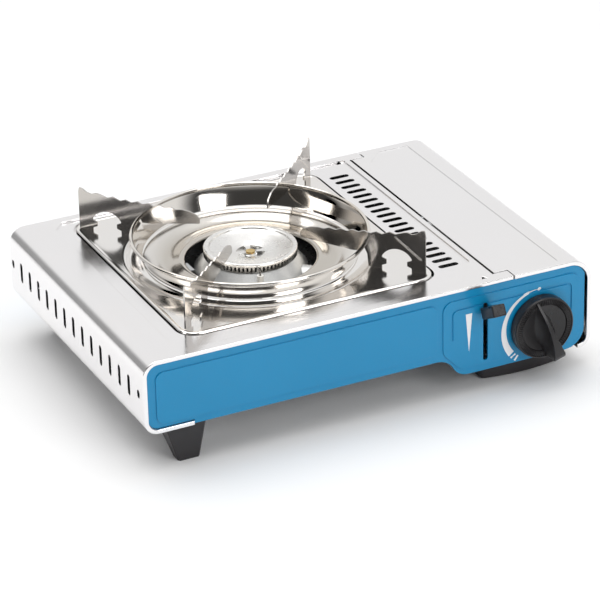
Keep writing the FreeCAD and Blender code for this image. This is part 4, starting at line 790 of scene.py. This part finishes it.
# %% Knob grip
# Sections from the pointing end to the tail: place along the grip, height, half width at the
# crest and at the foot, all in millimetres.
GRIP_FOOT = 4.4
SECTIONS = [(-24.3, 14.0, 4.2, 5.2), (-23.2, 19.6, 4.8, 6.0), (-19.0, 22.1, 4.6, 7.0),
            (-12.0, 22.1, 3.3, 8.6),
            (-4.0, 20.9, 2.1, 9.4), (4.0, 18.8, 1.4, 8.2), (12.0, 15.4, 1.1, 5.4), (19.0, 11.0, 1.0, 2.8),
            (22.9, 8.3, 0.9, 1.6)]
bpy.ops.mesh.primitive_cube_add(size=2, location=(0, 0, 0))
grip = bpy.context.object
open_mesh(grip)
bpy.ops.mesh.select_all(action="SELECT")
bpy.ops.mesh.subdivide(number_cuts=15)
edit = bmesh.from_edit_mesh(grip.data)
for vertex in edit.verts:
    along = (vertex.co.y + 1) / 2 * (len(SECTIONS) - 1)
    first = min(int(along), len(SECTIONS) - 2)
    share = along - first
    place, crest, thin, wide = [a + (b - a) * share for a, b in zip(SECTIONS[first], SECTIONS[first + 1])]
    up = (vertex.co.z + 1) / 2
    half = thin + (wide - thin) * (1 - up) ** 2.6
    vertex.co = (vertex.co.x * half * MM, place * MM, (GRIP_FOOT + up * (crest - GRIP_FOOT)) * MM)
bmesh.update_edit_mesh(grip.data)
close_mesh()
modify(grip, "SUBSURF", levels=1)
knob.select_set(True)
bpy.context.view_layer.objects.active = knob
bpy.ops.object.join()
# The knob is made lying on its back. It is stood up, and then turned a little on from its off mark.
TURNED_ON = math.radians(17)
lean = Matrix.Rotation(TURNED_ON, 4, Vector((0, -1, 0)))
upright_knob = Matrix.Rotation(math.radians(90), 4, "X")
knob.matrix_world = Matrix.Translation((KNOB.x, knob_high.y, KNOB.z)) @ lean @ upright_knob
smooth(knob, 42)
settle(knob, "knob", "gas_knob", knob_black, "gas_knob")

# %% Handle and feet
handle = copy_of("lever_handle")
soften(handle, 0.4 * MM, 2)
settle(handle, "handle", "lever_handle", knob_black, "lever_handle")
for place in ("front_left", "rear_left", "front_right", "rear_right"):
    foot = copy_of(f"foot_{place}")
    soften(foot, 0.9 * MM, 3)
    settle(foot, f"foot_cover_{place}", f"foot_{place}", foot_black, f"foot_{place}")

# %% [markdown]
# ## Paint for the parts that stay
#
# The pieces inside the case already have their true shapes, so they only get their finishes.

# %% Paint the inner parts
PAINT = [
    (zinc, ["base_pan", "foot_screws", "bay_wall", "valve_bulkhead", "cartridge_cradle", "cartridge_slider",
            "lid_pin_front", "lid_pin_rear", "cartridge_collar", "lock_lever", "lever_bracket", "lever_pin",
            "mixing_tube", "burner_bracket"]),
    (cast_grey, ["regulator_body"]),
    (scorched, ["electrode_wire"]),
    (brass, ["valve_spindle", "burner_screw", "gas_jet"]),
    (copper, ["gas_pipe"]),
    (rubber, ["nozzle_seal"]),
    (foot_black, ["piezo_igniter"]),
    (ceramic, ["spark_electrode"]),
]
for paint, nodes in PAINT:
    for node in nodes:
        mesh = frame["nodes"][node].data
        mesh.materials.clear()
        mesh.materials.append(paint)
        take(frame["nodes"][node])
        bpy.ops.object.shade_smooth_by_angle(angle=math.radians(30))
print("painted", sum(len(nodes) for _, nodes in PAINT), "parts")

# %% [markdown]
# ## Floor, light and camera
#
# Bright metal shows what is around it more than it shows itself. So the surroundings matter: a
# white floor, white behind and overhead, a dim room in front, and three soft lamps. The dim
# side gives the upright sheets their dark tones, while the flat tops mirror the white.

# %% Floor
bpy.ops.mesh.primitive_plane_add(size=12, location=(0, 0, 0))
floor = bpy.context.object
floor.name = "floor"
paper = Finish("paper", (0.9, 0.9, 0.9), roughness=0.9)
floor.data.materials.append(paper.material)

# %% Sky
world = bpy.data.worlds.new("studio")
bpy.context.scene.world = world
world.use_nodes = True
sky = world.node_tree
direction = sky.nodes.new("ShaderNodeTexCoord")
split = sky.nodes.new("ShaderNodeSeparateXYZ")
sky.links.new(direction.outputs["Generated"], split.inputs[0])
east, north, height = [Value(sky, output) for output in split.outputs]
BEHIND, FRONT_WALL, CEILING, PATCH_DARKER, SEEN_WHITE = 0.88, 0.05, 1.1, 0.55, 0.97


def ramp(value, low, high):
    """A soft step of the sky from 0 at low to 1 at high."""
    made = sky.nodes.new("ShaderNodeMapRange")
    made.interpolation_type = "SMOOTHSTEP"
    made.inputs[1].default_value, made.inputs[2].default_value = low, high
    sky.links.new(value.socket, made.inputs[0])
    return Value(sky, made.outputs[0])


behind = ramp(north * 0.75 + east * 0.6, -0.25, 0.10)
wall = behind * (BEHIND - FRONT_WALL) + FRONT_WALL
overhead = ramp(height, 0.66, 0.86)
bright = wall + overhead * (CEILING - wall)
# A grey patch low down at the back left shades the fold along the case's left side.
patch = ramp(east * -1.0, 0.22, 0.42) * ramp(north, 0.2, 0.5) * ramp(height * -1.0, -0.55, -0.30)
bright = bright - patch * PATCH_DARKER
# Rays straight from the camera see plain white.
seen = Value(sky, sky.nodes.new("ShaderNodeLightPath").outputs["Is Camera Ray"])
bright = bright + seen * (SEEN_WHITE - bright)
sky.links.new(bright.socket, sky.nodes["Background"].inputs["Color"])
sky.nodes["Background"].inputs["Strength"].default_value = 1.0

# %% Lamps


def lamp(name, place, aim, size, power):
    """A square soft lamp at a place, turned towards a point."""
    bpy.ops.object.light_add(type="AREA", location=place)
    made = bpy.context.object
    made.name = name
    made.data.shape = "SQUARE"
    made.data.size = size
    made.data.energy = power
    made.rotation_euler = (Vector(aim) - Vector(place)).to_track_quat("-Z", "Y").to_euler()


lamp("top", (-0.2, 0.4, 2.4), (0, 0, 0.05), 2.4, 28)
lamp("front", (0.6, -2.2, 1.3), (0, 0, 0.05), 1.1, 17)
lamp("left", (-2.2, -0.1, 0.7), (0, 0, 0.05), 0.8, 5)

# %% Camera
AZIMUTH, ELEVATION, ROLL = math.radians(-25.38), math.radians(26.48), math.radians(-1.39)
AIM, DISTANCE, LENS = Vector((0.006, 0.020, 0.036)), 2.537, 199.3
backwards = Vector((math.sin(AZIMUTH) * math.cos(ELEVATION), -math.cos(AZIMUTH) * math.cos(ELEVATION),
                    math.sin(ELEVATION)))
right = Vector((0, 0, 1)).cross(backwards).normalized()
upright = backwards.cross(right)
side = right * math.cos(ROLL) + upright * math.sin(ROLL)
up = upright * math.cos(ROLL) - right * math.sin(ROLL)
camera_data = bpy.data.cameras.new("camera")
camera_data.lens = LENS
camera_data.clip_end = 30
camera = bpy.data.objects.new("camera", camera_data)
bpy.context.scene.collection.objects.link(camera)
turn = Matrix((side, up, backwards)).transposed().to_4x4()
camera.matrix_world = Matrix.Translation(AIM + backwards * DISTANCE) @ turn
bpy.context.scene.camera = camera
bpy.context.scene.view_settings.view_transform = "Standard"
